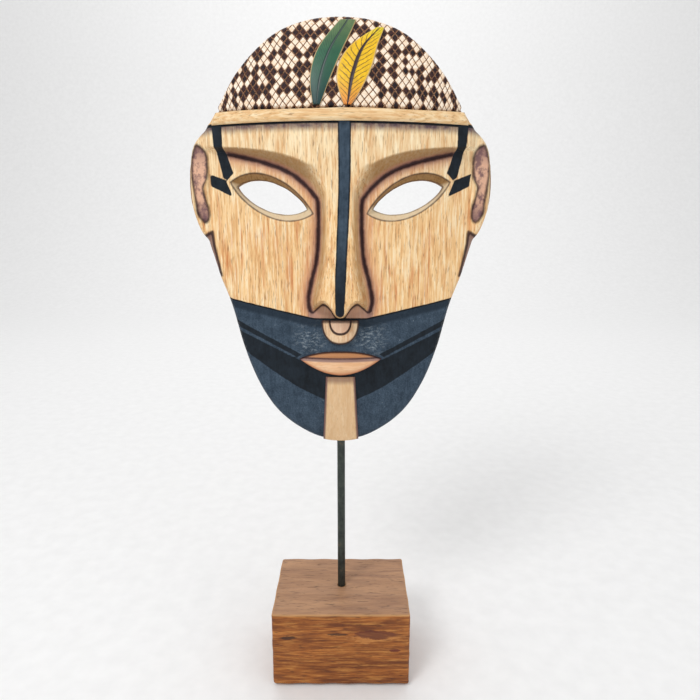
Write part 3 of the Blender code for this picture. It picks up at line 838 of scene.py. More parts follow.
def makeFaceFinish():
    material, g, shader = newMaterial("carved and painted wood", 0.6, 0.16)
    c = faceColours
    grain = g.group(woodGrain, Vector=g.place())
    height, across = g.attribute("height"), g.attribute("across")

    def edge(value, softness=0.35, wobble=0.5, strength=1.0):
        value = g.attribute(value) if isinstance(value, str) else value
        mask = g.group(handEdge, Distance=value, Softness=softness, Wobble=wobble)["Mask"]
        return mask if strength == 1.0 else g.times(mask, strength)

    def outline(value, half, softness, strength, wobble=0.4):
        away = g.minus(half, g.size(g.attribute(value)))
        return edge(away, softness, wobble, strength)

    light = g.mix(g.span(height, 165, 235, smooth=True), c["cheek"], c["cream"])
    reds = g.span(height, 215, 165, 0.12, 0.62)
    wood = paleWood(g, grain, light, c["tan"], reds)

    # painted shade on the slope under the brow, which faces down, then the burns in the creases: a dark line
    # and a soft purple side
    patchy = g.span(g.noise(g.place(), 160.0, 4.0, 0.65), 0.3, 0.7, 0.6, 1.15)
    wood = g.mix(g.times(g.attribute("slope"), 0.8), wood, c["slope"])
    gapTo, proud = g.attribute("creaseGap"), g.attribute("proud")
    cheekSide = g.span(proud, 0.35, 0.05)
    # painted shade on the sides of the nose, in the brow slope's colour
    noseSide = g.times(g.span(proud, 0.02, 0.4, smooth=True), g.span(proud, 0.99, 0.5, smooth=True))
    wood = g.mix(g.times(noseSide, g.span(height, 215, 195, 0.0, 0.5)), wood, c["slope"])
    blush = g.times(g.span(gapTo, 11.5, 2.0, 0.0, 0.55, smooth=True), cheekSide)
    wood = g.mix(blush, wood, c["lid"])
    soft = g.times(g.span(gapTo, 5.5, 0.5, smooth=True), g.times(patchy, 0.8))
    soft = g.times(soft, g.span(cheekSide, 0, 1, 0.55, 1.0))
    wood = g.mix(soft, wood, c["halo"])
    wood = g.mix(edge(g.minus(1.5, gapTo), 1.0, 0.8, 0.95), wood, c["burn"])

    # the bevels round the eyes: painted shade on the upper one, which faces down, and painted light on the
    # lower one, which faces up
    aboveEye = g.span(g.minus(height, g.math("MULTIPLY_ADD", across, *face["eyeTilt"])), -1, 2)
    bevelGrain = g.span(grain["Stroke"], 0.0, 1.0, 0.75, 1.0)
    bevelLitAndShaded = g.mix(aboveEye, c["litLowBevel"], c["bevel"])
    wood = g.coats(
        wood,
        (g.times(edge("rimIn", 0.3, 0.3), bevelGrain), bevelLitAndShaded),
        (outline("rimIn", 0.5, 0.5, 0.75), c["burn"]),
        (outline("holeOut", 0.6, 0.5, 0.55), c["burn"]))

    # shade under the headband
    drop = g.minus(face["bandFoot"], height)
    underBand = g.times(g.span(drop, 8.0, 2.0, 0.0, 0.95, smooth=True), patchy)
    wood = g.coats(
        wood,
        (underBand, c["shade"]),
        (edge(g.minus(1.5, drop), 0.5, 0.3), c["black"]),
        (g.span(drop, -0.8, -1.2), c["tan"]),
        (g.span(drop, -7.6, -8.2), c["bareDark"]))

    # the ears' hollows, blotched and darkest at their edges, and the shade behind the ears
    blotch = g.span(g.noise(g.place(), 170.0, 4.0, 0.6), 0.46, 0.60, 0.0, 0.85)
    earColour = g.mix(blotch, c["ear"], c["earShade"])
    ends = g.span(g.size(g.minus(height, face["earMiddle"])), *face["earEnds"])
    earColour = g.mix(g.times(ends, 0.7), earColour, c["earShade"])
    wood = g.coats(
        wood,
        (edge("earHollow", 0.7, 0.5), earColour),
        (outline("earHollow", 1.0, 1.2, 0.9, 1.0), c["burn"]),
        (edge("underEar", 0.6, 0.3, 0.8), c["earShade"]),
        (outline("underEar", 1.2, 0.8, 0.92), c["burn"]))

    # nostrils
    wood = g.mix(edge("nostril", 1.2, 0.6, 0.8), wood, c["nostril"])
    wood = g.mix(outline("nostril", 1.0, 0.8, 0.92), wood, c["burn"])

    # paint
    brush = g.group(brushedPaint, Scale=1.0)
    grit = g.noise(g.place(), 950.0, 3.0, 0.7)
    slatePaint = g.mix(brush["Tone"], c["slate"], c["slateLight"])
    slatePaint = g.coats(
        slatePaint,
        (g.span(grit, 0.5, 0.7, 0.0, 0.55), c["slateLight"]),
        (g.span(grit, 0.5, 0.3, 0.0, 0.6), c["slateDark"]),
        (g.times(brush["Bare"], 0.5), c["fleck"]))
    # painted highlight on the slate round the ring, where the muzzle bulges towards the light, broken into
    # dry-brush flecks
    highlightAcross, highlightUp = painting["ringHighlightSpot"]
    besideRing = g.times(g.span(g.size(g.minus(height, highlightUp)), 17, 5),
                         g.span(g.size(g.minus(across, highlightAcross)), 16, 4))
    ringHighlight = g.times(g.span(g.noise(g.place((260, 260, 520)), 1.0, 4.0, 0.75), 0.50, 0.66), besideRing)
    slatePaint = g.mix(g.times(ringHighlight, 0.6), slatePaint, c["fleck"])
    slate = g.attribute("slate")
    topBand = g.span(slate, 8.0, 5.0, 0.0, 0.75, smooth=True)
    slatePaint = g.mix(topBand, slatePaint, c["slateDark"])
    slatePaint = g.mix(edge(g.minus(1.2, slate), 0.3, 0.3), slatePaint, c["black"])
    blackPaint = g.mix(g.times(brush["Tone"], 0.6), c["black"], c["blackLight"])
    painted = g.mix(edge("black"), slatePaint, blackPaint)
    slateMask = edge("slate", 0.3, 0.4)
    wood = g.mix(slateMask, wood, painted)
    stripe = g.attribute("stripe")
    stripePaint = g.mix(brush["Tone"], c["slate"], c["slateLight"])
    stripePaint = g.mix(edge(g.minus(1.0, stripe), 0.5, 0.4), stripePaint, blackPaint)
    stripePaint = g.mix(g.span(height, 165, 120), stripePaint, blackPaint)
    stripeMask = edge("stripe", 0.3, 0.35)
    wood = g.mix(stripeMask, wood, stripePaint)
    # the temple marks turn from slate to near black from height 226 down to 214 and stay dark below; where
    # they cross the brow slope this darkening is painted shade
    markPaintAndShade = g.mix(g.span(height, 226, 214, 0.3, 0.85), stripePaint, blackPaint)
    wood = g.mix(edge("marks", 0.3, 0.5), wood, markPaintAndShade)

    # the sides and the back are bare, darker wood
    bareWood = paleWood(g, grain, c["bare"], c["bareDark"], 0.2)
    bareWood = g.mix(0.78, bareWood, g.mix(grain["Tone"], c["bare"], c["bareDark"]))
    bareWood = g.mix(g.times(grain["Pore"], 0.35), bareWood, c["pore"])
    gouge = g.span(g.attribute("gouge"), 0.12, 0.0, 0.0, 0.45)
    bareWood = g.mix(gouge, bareWood, c["gouge"])
    # painted shade: the wood grows darker towards the deepest part of the hollow
    bareWood = g.mix(g.span(g.attribute("scoop"), 0.0, 1.0, 0.0, 0.5), bareWood, c["gouge"])
    g.feed(shader["Base Color"], g.mix(g.span(g.attribute("behind"), 0.02, 0.10), wood, bareWood))
    g.feed(shader["Roughness"], g.span(brush["Tone"], 0, 1, 0.52, 0.66))
    paintMask = g.math("MAXIMUM", slateMask, stripeMask)
    ridges = g.math("MULTIPLY_ADD", grain["Stroke"], 0.6, g.times(brush["Height"], paintMask))
    g.bump(shader, ridges, 0.3, 0.0004)
    return material


makeFace(makeFaceFinish())


# the cap of diamond cells

cap = {
    "low": 246.0, "thickness": 5.0, "setBack": 0.8, "edgeRadius": 1.8,
    "cellWide": 5.6, "cellTall": 6.7, "crowding": 0.22, "wander": 0.55,
    "groove": 0.9, "puff": 0.4, "cut": (0, 0.07, 0.15, 0.5, 0.85, 0.93),
    "grooveHalf": 0.09, "cells": (-18, 30),
}


def capPlan(u, v):
    # cell numbers along the two diagonals give a place; rows of cells crowd towards the sides
    x = (u - v) * cap["cellWide"] / 2
    w = (u + v) * cap["cellTall"] / 2
    x = x * (1 - cap["crowding"] * (x / halfSpan)**2)
    bend = cap["wander"] * np.sin(w / 9.0 + x / 23.0) + 0.3 * np.sin(x / 4.3 + w / 6.1)
    sag = 0.3 * np.sin(x / 5.7) - 4.0 * (x / halfSpan)**2
    return np.stack([x + bend, w + sag + cap["low"] - 1.0], 1)


def makeCap(material):
    cut = cap["cut"]
    low, high = cap["cells"]
    cells = high - low
    steps = cells * len(cut)
    bm = gridMesh(steps, steps)
    unit = np.rint((planOf(bm) + 0.5) * steps).astype(int)
    shares = np.array(cut)
    lattice = low + unit // len(cut) + shares[unit % len(cut)]
    cellLayer, grooveLayer = (bm.verts.layers.float.new(n) for n in ("cell", "ridge"))
    part = lattice - np.floor(lattice)
    near = np.minimum(part, 1 - part).min(1)
    tone = cellTone(np.floor(lattice[:, 0]), np.floor(lattice[:, 1]))
    for vert, share, dark in zip(bm.verts, near, tone):
        vert[grooveLayer] = share
        vert[cellLayer] = dark
    setPlan(bm, capPlan(lattice[:, 0], lattice[:, 1]))
    rim = capOutline()
    keepInside(bm, lambda p: inside(p, rim))
    snapEdges(bm, (rim,))
    ridgeOf = {}
    for vert in bm.verts:
        ridgeOf[(round(vert.co.x, 4), round(vert.co.y, 4))] = vert[grooveLayer]

    def front(plan):
        ridge = np.array([ridgeOf[(round(x, 4), round(w, 4))] for x, w in plan])
        depth = frontDepth(*plan.T) + cap["setBack"]
        groove = cap["groove"] * (1 - ease(ridge / cap["grooveHalf"]))
        puff = cap["puff"] * ease(ridge / 0.5)
        edge = nearest(plan, rim, 5.0)[0]
        return depth + groove - puff + roundOver(edge, cap["edgeRadius"])

    def back(plan):
        return frontDepth(*plan.T) + cap["setBack"] + cap["thickness"]

    raisePlan(bm, front, back)
    piece = makeObject("cap_of_cells", bm, 30)
    settle(piece, "mask", "cap_paint", material, "cap_panel")


def capOutline():
    # the mask's outline above the headband, closed by a level line
    points = outlinePath[:-1]
    upper = [p for p in points if p[1] > cap["low"] + 0.5]
    upper.sort(key=lambda p: math.atan2(p[1] - cap["low"], p[0]))
    side = sorted((w, x) for x, w in points if x > 60 and 235 < w < 290)
    wide = np.interp(cap["low"], *zip(*side))
    return closedPath([(wide, cap["low"])] + upper + [(-wide, cap["low"])])


def cellTone(i, j):
    # dark cells stand in small groups, two by two, with strays between them
    group = np.mod(np.floor(i / 2) + np.floor(j / 2), 2)
    stray = hash01(i, j, 1.0)
    dark = np.where(group > 0, stray < 0.80, stray < 0.13)
    return np.where(dark, 0.75 + 0.25 * hash01(i, j, 2.0), 0.25 * hash01(i, j, 3.0))


def makeCapFinish():
    material, g, shader = newMaterial("cut and painted cells", 0.62, 0.16)
    cell, ridge = g.attribute("cell"), g.attribute("ridge")
    blotch = g.noise(g.place(), 420.0, 4.0, 0.65)
    soft = g.noise(g.place(), 1300.0, 3.0, 0.7)
    cream = g.mix(g.span(blotch, 0.38, 0.68), shown(255, 246, 230), shown(240, 206, 170))
    dark = g.mix(g.span(blotch, 0.42, 0.68), shown(30, 28, 34), shown(76, 46, 42))
    colour = g.mix(g.span(cell, 0.42, 0.58), cream, dark)
    colour = g.mix(g.times(g.span(soft, 0.6, 0.75), 0.3), colour, shown(160, 116, 84))
    edge = g.math("MULTIPLY_ADD", g.minus(blotch, 0.5), 0.10, ridge)
    line = g.mix(g.span(soft, 0.44, 0.56), shown(232, 188, 148), shown(120, 78, 56))
    colour = g.mix(g.span(edge, 0.105, 0.06), colour, line)
    colour = g.mix(g.span(edge, 0.04, 0.0, 0.0, 0.7), colour, shown(78, 46, 38))
    wall = g.attribute("behind")
    g.feed(shader["Base Color"], g.mix(g.span(wall, 0.02, 0.2), colour, faceColours["bare"]))
    g.bump(shader, soft, 0.25, 0.0002)
    return material


makeCap(makeCapFinish())


# the two leaves on the cap

leaves = {
    "leaf_green": {"rib": [(0.797, -0.137), (0.850, -0.117), (0.910, -0.066), (0.990, 0.052)],
                   "half": 0.078, "ends": (0.09, 0.22), "slot": "green_paint",
                   "veins": 30.0, "veinWidth": 0.22, "ribWidth": 0.06},
    "leaf_yellow": {"rib": [(0.797, 0.048), (0.871, 0.086), (0.928, 0.150), (0.972, 0.250)],
                    "half": 0.104, "ends": (0.07, 0.07), "slot": "yellow_paint",
                    "veins": 14.0, "veinWidth": 0.13, "ribWidth": 0.07},
}
leafShape = {"thickness": 2.0, "columns": 40, "rows": 130, "slant": 0.17, "edgeRadius": 0.9}


def veinGap(along, side, count):
    # 0 on a vein, 0.5 halfway to the next; the veins lean up and out
    place = (along - leafShape["slant"] * np.abs(side)) * count
    return np.abs(place - np.rint(place))


def makeLeaf(name, look, material):
    low, high = look["rib"][0][0], look["rib"][-1][0]
    bm = gridMesh(leafShape["columns"], leafShape["rows"])
    unit = planOf(bm) + 0.5
    rise = unit[:, 1]
    side = unit[:, 0] * 2 - 1
    up = low + (high - low) * rise
    stem, tip = look["ends"]
    reach = look["half"] * np.sin(math.pi * (stem + (1 - stem - tip) * rise))
    x = (smoothThrough(look["rib"], up) + side * reach) * halfSpan
    layers = {n: bm.verts.layers.float.new(n) for n in ("along", "side")}
    for vert, a, s in zip(bm.verts, rise, side):
        vert[layers["along"]] = a
        vert[layers["side"]] = s
    setPlan(bm, np.stack([x, up * tall], 1))

    def front(plan):
        # the grid keeps its order, so the shares along and across still fit it
        rib = np.exp(-(side / (look["ribWidth"] * 0.8))**2)
        veins = np.exp(-(veinGap(rise, side, look["veins"]) / 0.12)**2) * (np.abs(side) < 0.9)
        edge = (1 - np.abs(side)) * reach * halfSpan
        ends = np.minimum(rise, 1 - rise) * (high - low) * tall
        depth = frontDepth(*plan.T) + cap["setBack"] - leafShape["thickness"] - 0.1
        bulge = 0.7 * side**2 + roundOver(np.minimum(edge, ends), leafShape["edgeRadius"])
        return depth + bulge + 0.30 * rib + 0.14 * veins

    def back(plan):
        return frontDepth(*plan.T) + cap["setBack"] - gap

    raisePlan(bm, front, back)
    piece = makeObject(name + "_carved", bm, 30)
    settle(piece, "mask", look["slot"], material, name)


def makeLeafFinish(name, look):
    green = name == "leaf_green"
    material, g, shader = newMaterial(name + " paint", 0.45, 0.45)
    along, side = g.attribute("along"), g.attribute("side")
    brush = g.group(brushedPaint, Scale=2.0)
    out = g.size(side)
    if green:
        colour = g.mix(g.span(along, 0.05, 0.5), shown(22, 66, 68), shown(40, 104, 72))
        colour = g.mix(g.span(along, 0.6, 0.98), colour, shown(110, 136, 84))
        veinInk, ribInk, ribEdge = shown(18, 44, 40), shown(112, 128, 122), shown(24, 44, 46)
    else:
        colour = g.mix(g.span(along, 0.02, 0.34), shown(246, 156, 70), shown(255, 204, 20))
        colour = g.mix(g.span(along, 0.8, 1.0), colour, shown(255, 232, 40))
        veinInk, ribInk, ribEdge = shown(96, 66, 34), shown(58, 40, 52), shown(40, 30, 34)
    colour = g.mix(g.times(brush["Tone"], 0.35), colour, veinInk)
    wobble = g.times(g.minus(g.noise(g.place(), 260.0, 3.0), 0.5), 0.05)
    leaned = g.math("ADD", g.math("MULTIPLY_ADD", out, -leafShape["slant"], along), wobble)
    turns = g.times(leaned, look["veins"])
    gapTo = g.size(g.minus(turns, g.math("ROUND", turns)))
    vein = g.span(gapTo, look["veinWidth"], look["veinWidth"] * 0.35, smooth=True)
    fades = g.times(g.span(out, 0.90, 0.72), g.span(out, 0.02, 0.12))
    vein = g.times(vein, g.times(fades, 0.6 if green else 0.85))
    colour = g.mix(vein, colour, veinInk)
    ribWidth = g.math("MULTIPLY_ADD", along, -0.7 * look["ribWidth"], look["ribWidth"] * 1.45)
    ribGap = g.minus(g.math("ADD", out, g.size(wobble)), ribWidth)
    colour = g.mix(g.span(ribGap, 0.09, 0.0, smooth=True), colour, ribEdge)
    colour = g.mix(g.span(ribGap, -0.01, -0.06, 0.0, 0.85), colour, ribInk)
    rim = g.span(out, 0.90, 0.955)
    colour = g.mix(rim, colour, shown(214, 182, 132))
    g.feed(shader["Base Color"], g.mix(g.span(g.attribute("behind"), 0.3, 0.5), colour, shown(70, 52, 42)))
    g.bump(shader, brush["Height"], 0.25, 0.0003)
    return material


for leafName, leafLook in leaves.items():
    makeLeaf(leafName, leafLook, makeLeafFinish(leafName, leafLook))


# the raised pieces on the face: headband, ring, lips and chin strip

def plate(name, columns, rows, planOfUnit, rise, edge=None):
    # a piece of uneven thickness on the carved front; rise gives its height over the wood
    bm = gridMesh(columns, rows)
    unit = planOf(bm) + 0.5
    setPlan(bm, planOfUnit(unit[:, 0], unit[:, 1]))

    def front(plan):
        return frontDepth(*plan.T) - rise(unit[:, 0], unit[:, 1], plan)

    def back(plan):
        return frontDepth(*plan.T) - gap

    raisePlan(bm, front, back)
    if edge:
        bmesh.ops.remove_doubles(bm, verts=bm.verts, dist=edge)
        bmesh.ops.recalc_face_normals(bm, faces=bm.faces)
    return makeObject(name, bm, 34)


def domed(share, sharpness=6):
    # flat in the middle and round at both ends, for a share from 0 to 1
    return 1 - np.abs(2 * share - 1)**sharpness


band = {"low": 237.45, "tall": 8.2, "half": 92.0, "lean": 3.6, "proud": 3.2}
ring = {"top": 98.4, "low": 80.9, "half": 13.9, "proud": 4.5, "flat": 0.4}
lips = {"half": 31.2, "corner": 69.0, "top": 75.4, "low": 57.0, "seam": 69.6, "proud": 4.2, "thin": 0.7}
strip = {"top": 55.8, "long": 54, "halfTop": 11.0, "halfLow": 13.9, "taper": 0.0535, "proud": 2.2}


def makeBand(material):
    def plan(u, v):
        half = band["half"] - band["lean"] * v
        w = band["low"] + band["tall"] * v + 0.25 * np.sin(u * 14) * (v > 0.5)
        return np.stack([(2 * u - 1) * half, w], 1)

    def rise(u, v, plan):
        ends = roundOver(np.minimum(u, 1 - u) * 2 * band["half"], 2.0)
        return band["proud"] * (0.35 + 0.65 * domed(v, 4)) + 0.08 * ripple(*plan.T, 5.0) - ends

    piece = plate("headband_bar", 170, 14, plan, rise)
    settle(piece, "mask", "band_wood", material, "headband")


def makeRing(material):
    # a U hoop round a flat tongue: v runs down from the straight top, u across
    def plan(u, v):
        width = ring["half"] * np.sqrt(np.maximum(1 - (0.02 + 0.975 * v)**2.6, 0))
        return np.stack([(2 * u - 1) * width, ring["top"] - (ring["top"] - ring["low"]) * v], 1)

    def rise(u, v, plan):
        gone = ringGap(plan)
        hoop = ring["proud"] * (1 - 0.45 * ((gone - 0.78) / 0.22)**2).clip(0.35, 1)
        tongue = ring["proud"] * (ring["flat"] + 0.25 * domed(u, 2))
        return np.where(gone > 0.56, hoop, tongue) - 0.6 * np.exp(-((gone - 0.56) / 0.03)**2)

    piece = plate("nose_ring_carved", 56, 44, plan, rise)
    planNow = meshPlan(piece.data)
    mark(piece, "ringGap", ringGap(planNow))
    mark(piece, "down", (ring["top"] - planNow[:, 1]) / (ring["top"] - ring["low"]))
    settle(piece, "mask", "ring_wood", material, "nose_ring")


def ringGap(plan):
    # 0 at the middle of the top edge, 1 on the outline
    down = (ring["top"] - plan[:, 1]) / (ring["top"] - ring["low"])
    return (np.abs(plan[:, 0] / ring["half"])**2.3 + np.abs(down)**2.3)**(1 / 2.3)


def makeLips(material):
    def edges(u):
        out = np.abs(2 * u - 1)
        top = lips["top"] - (lips["top"] - lips["corner"]) * out**2.4
        low = lips["low"] + (lips["corner"] - lips["low"]) * out**1.9
        return top, low, lips["seam"] + 0.5 * out**2

    def plan(u, v):
        top, low = edges(u)[:2]
        return np.stack([(2 * u - 1) * lips["half"], low + (top - low) * v], 1)

    def rise(u, v, plan):
        top, low, seam = edges(u)
        deep = np.clip((top - low) / 16, 0, 1)
        above = np.clip((plan[:, 1] - seam) / np.maximum(top - seam, 0.1), 0, 1)
        below = np.clip((seam - plan[:, 1]) / np.maximum(seam - low, 0.1), 0, 1)
        swell = np.where(plan[:, 1] > seam, np.sin(math.pi * above)**0.7 * 0.75,
                         np.sin(math.pi * below)**0.6)
        return lips["thin"] + (lips["proud"] - lips["thin"]) * swell * (0.25 + 0.75 * deep**0.6)

    piece = plate("lips_carved", 90, 40, plan, rise, 0.000001)
    planNow = meshPlan(piece.data)
    top, low, seam = edges(planNow[:, 0] / lips["half"] / 2 + 0.5)
    mark(piece, "overSeam", planNow[:, 1] - seam)
    mark(piece, "overLow", planNow[:, 1] - low)
    mark(piece, "underTop", top - planNow[:, 1])
    settle(piece, "mask", "lip_paint", material, "lips")


def makeStrip(material):
    right = outlinePath[:len(outlinePath) // 3]

    def plan(u, v):
        half = strip["halfLow"] + (strip["halfTop"] - strip["halfLow"]) * v
        x = (2 * u - 1) * half
        low = np.interp(np.abs(x), right[:, 0], right[:, 1]) + 0.4
        return np.stack([x, low + (strip["top"] - low) * v], 1)

    def rise(u, v, plan):
        sides = np.minimum(u, 1 - u) * 2 * strip["halfTop"]
        ends = np.minimum(v, 1 - v) * strip["long"]
        rounded = roundOver(np.minimum(sides, ends), 1.2)
        return strip["proud"] + 0.2 * domed(u, 2) - rounded + 0.06 * ripple(plan[:, 0], plan[:, 1] * 0.4, 3.0)

    piece = plate("chin_strip_carved", 34, 70, plan, rise)
    planNow = meshPlan(piece.data)
    mark(piece, "across", np.abs(planNow[:, 0]) - (strip["halfLow"] - planNow[:, 1] * strip["taper"]))
    mark(piece, "height", planNow[:, 1])
    settle(piece, "mask", "strip_wood", material, "chin_strip")


def makeTrimFinish(name, light, tan, along, calm, burns):
    # pale wood; calm hides its grain, and burns is a list of (mask maker, colour)
    material, g, shader = newMaterial(name, 0.58, 0.2)
    turn = (0, math.radians(90), 0) if along == "across" else (0, 0, 0)
    grain = g.group(woodGrain, Vector=g.place(rotation=turn), Seed=0.37)
    colour = g.mix(calm, paleWood(g, grain, light, tan, 0.15), g.mix(grain["Tone"], light, tan))
    for maskOf, ink in burns:
        colour = g.mix(maskOf(g), colour, ink)
    g.feed(shader["Base Color"], colour)
    g.bump(shader, grain["Stroke"], 0.2, 0.0003)
    return material


def inkLine(attribute, low, high, strength, noisy=0.3):
    # a soft line where the attribute goes from low to high
    def mask(g):
        shake = g.times(g.minus(g.noise(g.place(), 300.0, 3.0), 0.5), noisy)
        value = g.math("ADD", g.attribute(attribute), shake)
        return g.times(g.span(value, low, high, smooth=True), strength)
    return mask


def nearLine(attribute, middle, reach, core, strength):
    # a soft line along one value of the attribute
    def mask(g):
        away = g.size(g.minus(g.attribute(attribute), middle))
        return g.times(g.span(away, reach, core, smooth=True), strength)
    return mask


def makeTrims():
    makeBand(makeTrimFinish("headband wood", shown(244, 212, 164), shown(222, 178, 120), "across", 0.2,
                            [(inkLine("behind", 0.25, 0.6, 0.8, 0.0), faceColours["burn"])]))
    ringInk = faceColours["burn"]
    makeRing(makeTrimFinish("ring wood", shown(232, 202, 166), shown(206, 168, 132), "up", 0.5, [
        (inkLine("ringGap", 0.62, 0.54, 0.5, 0.03), shown(214, 176, 158)),
        (inkLine("ringGap", 0.88, 0.95, 0.95, 0.02), ringInk),
        (nearLine("ringGap", 0.56, 0.07, 0.03, 0.92), ringInk),
        (inkLine("down", 0.14, 0.03, 0.85, 0.05), ringInk),
    ]))
    makeLips(makeTrimFinish("lip paint", shown(240, 196, 156), shown(222, 172, 128), "across", 0.6, [
        (inkLine("overSeam", -0.6, 1.2, 0.9, 0.6), shown(180, 122, 78)),
        (inkLine("overLow", 4.0, 0.5, 0.75, 0.8), shown(200, 122, 80)),
        (nearLine("overSeam", -0.4, 2.2, 0.9, 0.8), shown(132, 106, 110)),
        (nearLine("overSeam", 0.5, 0.7, 0.15, 0.8), shown(84, 56, 56)),
        (inkLine("underTop", 1.4, 0.4, 0.92, 0.3), faceColours["burn"]),
        (inkLine("overLow", 1.1, 0.2, 0.85, 0.3), faceColours["burn"]),
    ]))
    makeStrip(makeTrimFinish("chin strip wood", shown(228, 194, 152), shown(214, 176, 132), "up", 0.75, [
        (inkLine("across", -2.2, -0.6, 0.9, 0.5), shown(104, 72, 74)),
        (inkLine("height", 49.0, 54.0, 0.7, 1.0), shown(120, 88, 78)),
    ]))


makeTrims()


# the stand

rodLook = {"sides": 48, "rings": 60, "chamfer": 0.0006, "dent": 0.00005}
block = {
    "edge": 0.0018, "cuts": 40, "wear": 0.00022, "hole": 0.0035,
    # knots and smudges on the front: centre, reach, colour, strength
    "knots": [
        ((0.026, -0.04, 0.0452), (0.019, 0.02, 0.0044), (204, 138, 72), 0.6),
        ((0.026, -0.04, 0.0475), (0.017, 0.02, 0.0042), (84, 26, 16), 0.8),
        ((0.043, -0.04, 0.0337), (0.005, 0.02, 0.0014), (96, 32, 18), 0.85),
        ((-0.043, -0.04, 0.0454), (0.007, 0.02, 0.0016), (44, 22, 12), 0.85),
        ((0.0, -0.04, 0.0483), (0.009, 0.02, 0.0013), (56, 28, 16), 0.85),
    ],
}


def makeRod(material):
    low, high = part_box("stand_rod")
    radius = (high.x - low.x) / 2
    bm = cylinderMesh(radius, high.z - low.z, (high.z + low.z) / 2, rodLook["sides"])
    roundEdges(bm, edgesBy(bm, lambda rise: rise < 1e-6), rodLook["chamfer"], 2)
    splitLong(bm, 0.1, rodLook["rings"])
    for vert in bm.verts:
        turn = math.atan2(vert.co.y, vert.co.x)
        inward = rodLook["dent"] * (1 + math.sin(3 * turn + vert.co.z * 190) * math.sin(vert.co.z * 310)) / 2
        flat = Vector((vert.co.x, vert.co.y, 0))
        vert.co -= flat.normalized() * inward if flat.length > radius * 0.8 else Vector()
    piece = makeObject("rod_bar", bm, 40)
    settle(piece, "rod", "rod_steel", material, "stand_rod")


def makeRodFinish():
    material, g, shader = newMaterial("black steel", 0.42, 0.5)
    stretched = g.noise(g.place((900, 900, 30)), 1.0, 4.0, 0.6)
    blotch = g.noise(g.place(), 150.0, 4.0, 0.65)
    colour = g.mix(g.span(blotch, 0.35, 0.65), shown(50, 56, 54), shown(74, 80, 74))
    colour = g.mix(g.times(g.span(blotch, 0.62, 0.72), 0.5), colour, shown(110, 84, 60))
    g.feed(shader["Base Color"], colour)
    shader["Metallic"].default_value = 0.75
    g.feed(shader["Roughness"], g.span(stretched, 0.3, 0.7, 0.34, 0.58))
    g.bump(shader, stretched, 0.2, 0.0002)
    return material


def makeBlock(material):
    low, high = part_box("base_block")
    size, middle = high - low, (high + low) / 2
    bm = boxMesh(low, high)
    roundEdges(bm, list(bm.edges), block["edge"], 4)
    splitLong(bm, 0.03, block["cuts"])
    for vert in bm.verts:
        inner = [abs(vert.co[i] - middle[i]) / (size[i] / 2) for i in range(3)]
        nearEdge = sorted(inner)[1] > 0.93
        wave = math.sin(vert.co.x * 260 + vert.co.z * 90) * math.sin(vert.co.z * 330 + vert.co.y * 210)
        if nearEdge:
            inward = (middle - vert.co).normalized()
            vert.co += inward * block["wear"] * (1 + wave)
    piece = makeObject("block_body", bm, 34)
    depth = high.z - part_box("stand_rod")[0].z + gap * mm
    cutAway(piece, cylinderMesh(block["hole"], 2 * depth, high.z))
    settle(piece, "base", "block_wood", material, "base_block")


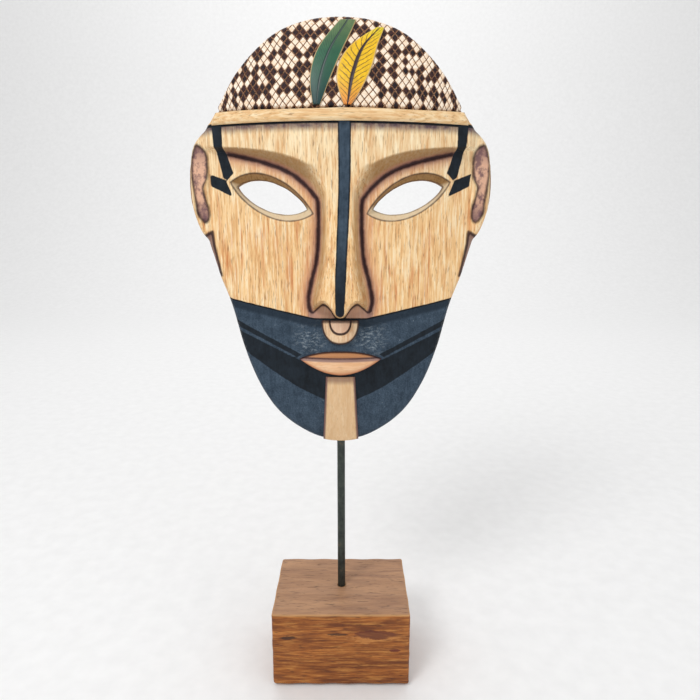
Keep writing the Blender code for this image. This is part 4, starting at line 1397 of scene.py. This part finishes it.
def makeBlockFinish():
    material, g, shader = newMaterial("oiled hardwood", 0.5, 0.4)
    turned = g.place(rotation=(0, math.radians(90), 0))
    grain = g.group(woodGrain, Vector=turned, Seed=1.3)
    rings = g.noise(g.place((16, 90, 150)), 1.0, 4.0, 0.6, 0.8)
    colour = g.mix(g.span(rings, 0.34, 0.66), shown(182, 108, 42), shown(120, 62, 16))
    colour = g.coats(
        colour,
        (g.times(grain["Tone"], 0.4), shown(96, 46, 14)),
        (g.times(g.span(grain["Stroke"], 0.5, 1.0), 0.6), shown(204, 140, 68)),
        (g.times(g.span(grain["Stroke"], 0.5, 0.0), 0.55), shown(88, 42, 14)),
        (g.times(grain["Pore"], 0.75), shown(52, 24, 14)))
    torn = g.noise(g.place((60, 60, 200)), 1.0, 4.0, 0.7)
    for centre, reach, ink, strength in block["knots"]:
        scaled = g.vector("DIVIDE", g.vector("SUBTRACT", g.place(), centre), reach)
        far = g.node("ShaderNodeVectorMath", {0: scaled}, operation="LENGTH").outputs["Value"]
        ragged = g.math("MULTIPLY_ADD", g.minus(torn, 0.5), 2.4, far)
        spot = g.span(ragged, 1.1, 0.75, smooth=True)
        colour = g.mix(g.times(spot, strength), colour, shown(*ink))
    flecks = g.noise(g.place((75, 220, 950)), 1.0, 3.0, 0.6)
    colour = g.mix(g.times(g.span(flecks, 0.60, 0.70), 0.5), colour, shown(66, 32, 16))
    colour = g.mix(g.times(g.span(flecks, 0.40, 0.30), 0.35), colour, shown(198, 126, 58))
    # painted reflection: the top of the block gets a paler, greyer brown for the sheen of the bright sky on
    # it; its rings and pores are the wood's own
    up = g.node("ShaderNodeSeparateXYZ", {0: g.node("ShaderNodeNewGeometry").outputs["Normal"]}).outputs["Z"]
    topSheenMask = g.span(up, 0.5, 0.95)
    topSheenColour = g.mix(g.span(rings, 0.3, 0.7), shown(186, 146, 112), shown(150, 112, 86))
    topSheenColour = g.mix(g.times(grain["Pore"], 0.6), topSheenColour, shown(70, 44, 30))
    colour = g.mix(g.times(topSheenMask, 0.85), colour, topSheenColour)
    # painted highlight along the rounded edges, where the arris catches the light
    arrisHighlight = g.times(g.span(up, 0.12, 0.4), g.span(up, 0.97, 0.7))
    colour = g.mix(g.times(arrisHighlight, 0.6), colour, shown(206, 160, 108))
    g.feed(shader["Base Color"], colour)
    g.feed(shader["Roughness"], g.span(grain["Tone"], 0, 1, 0.46, 0.62))
    height = g.minus(g.times(grain["Stroke"], 0.5), grain["Pore"])
    g.bump(shader, height, 0.3, 0.0004)
    return material


felt = {"corner": 0.006, "edge": 0.0005, "cuts": 60, "fray": 0.00018}


def makeFelt(material):
    low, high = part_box("base_felt")
    bm = boxMesh(low, high)
    roundEdges(bm, edgesBy(bm, lambda rise: rise > 0.001), felt["corner"], 8)
    roundEdges(bm, edgesBy(bm, lambda rise: rise < 1e-6), felt["edge"], 2)
    splitLong(bm, 0.03, felt["cuts"])
    for vert in bm.verts:
        flatPlace = Vector((vert.co.x, vert.co.y, 0))
        vert.co -= flatPlace.normalized() * felt["fray"] * (1 + math.sin(vert.co.x * 900 + vert.co.y * 700))
    piece = makeObject("felt_pad", bm, 60)
    settle(piece, "base", "base_felt", material, "base_felt")


def makeFeltFinish():
    material, g, shader = newMaterial("black felt", 0.95, 0.1)
    fibre = g.noise(g.place(), 1800.0, 5.0, 0.75, 1.5)
    g.feed(shader["Base Color"], g.mix(g.span(fibre, 0.3, 0.7), shown(26, 26, 28), shown(62, 60, 62)))
    shader["Sheen Weight"].default_value = 0.4
    shader["Sheen Roughness"].default_value = 0.6
    g.bump(shader, fibre, 0.6, 0.0004)
    return material


makeRod(makeRodFinish())
makeBlock(makeBlockFinish())
makeFelt(makeFeltFinish())
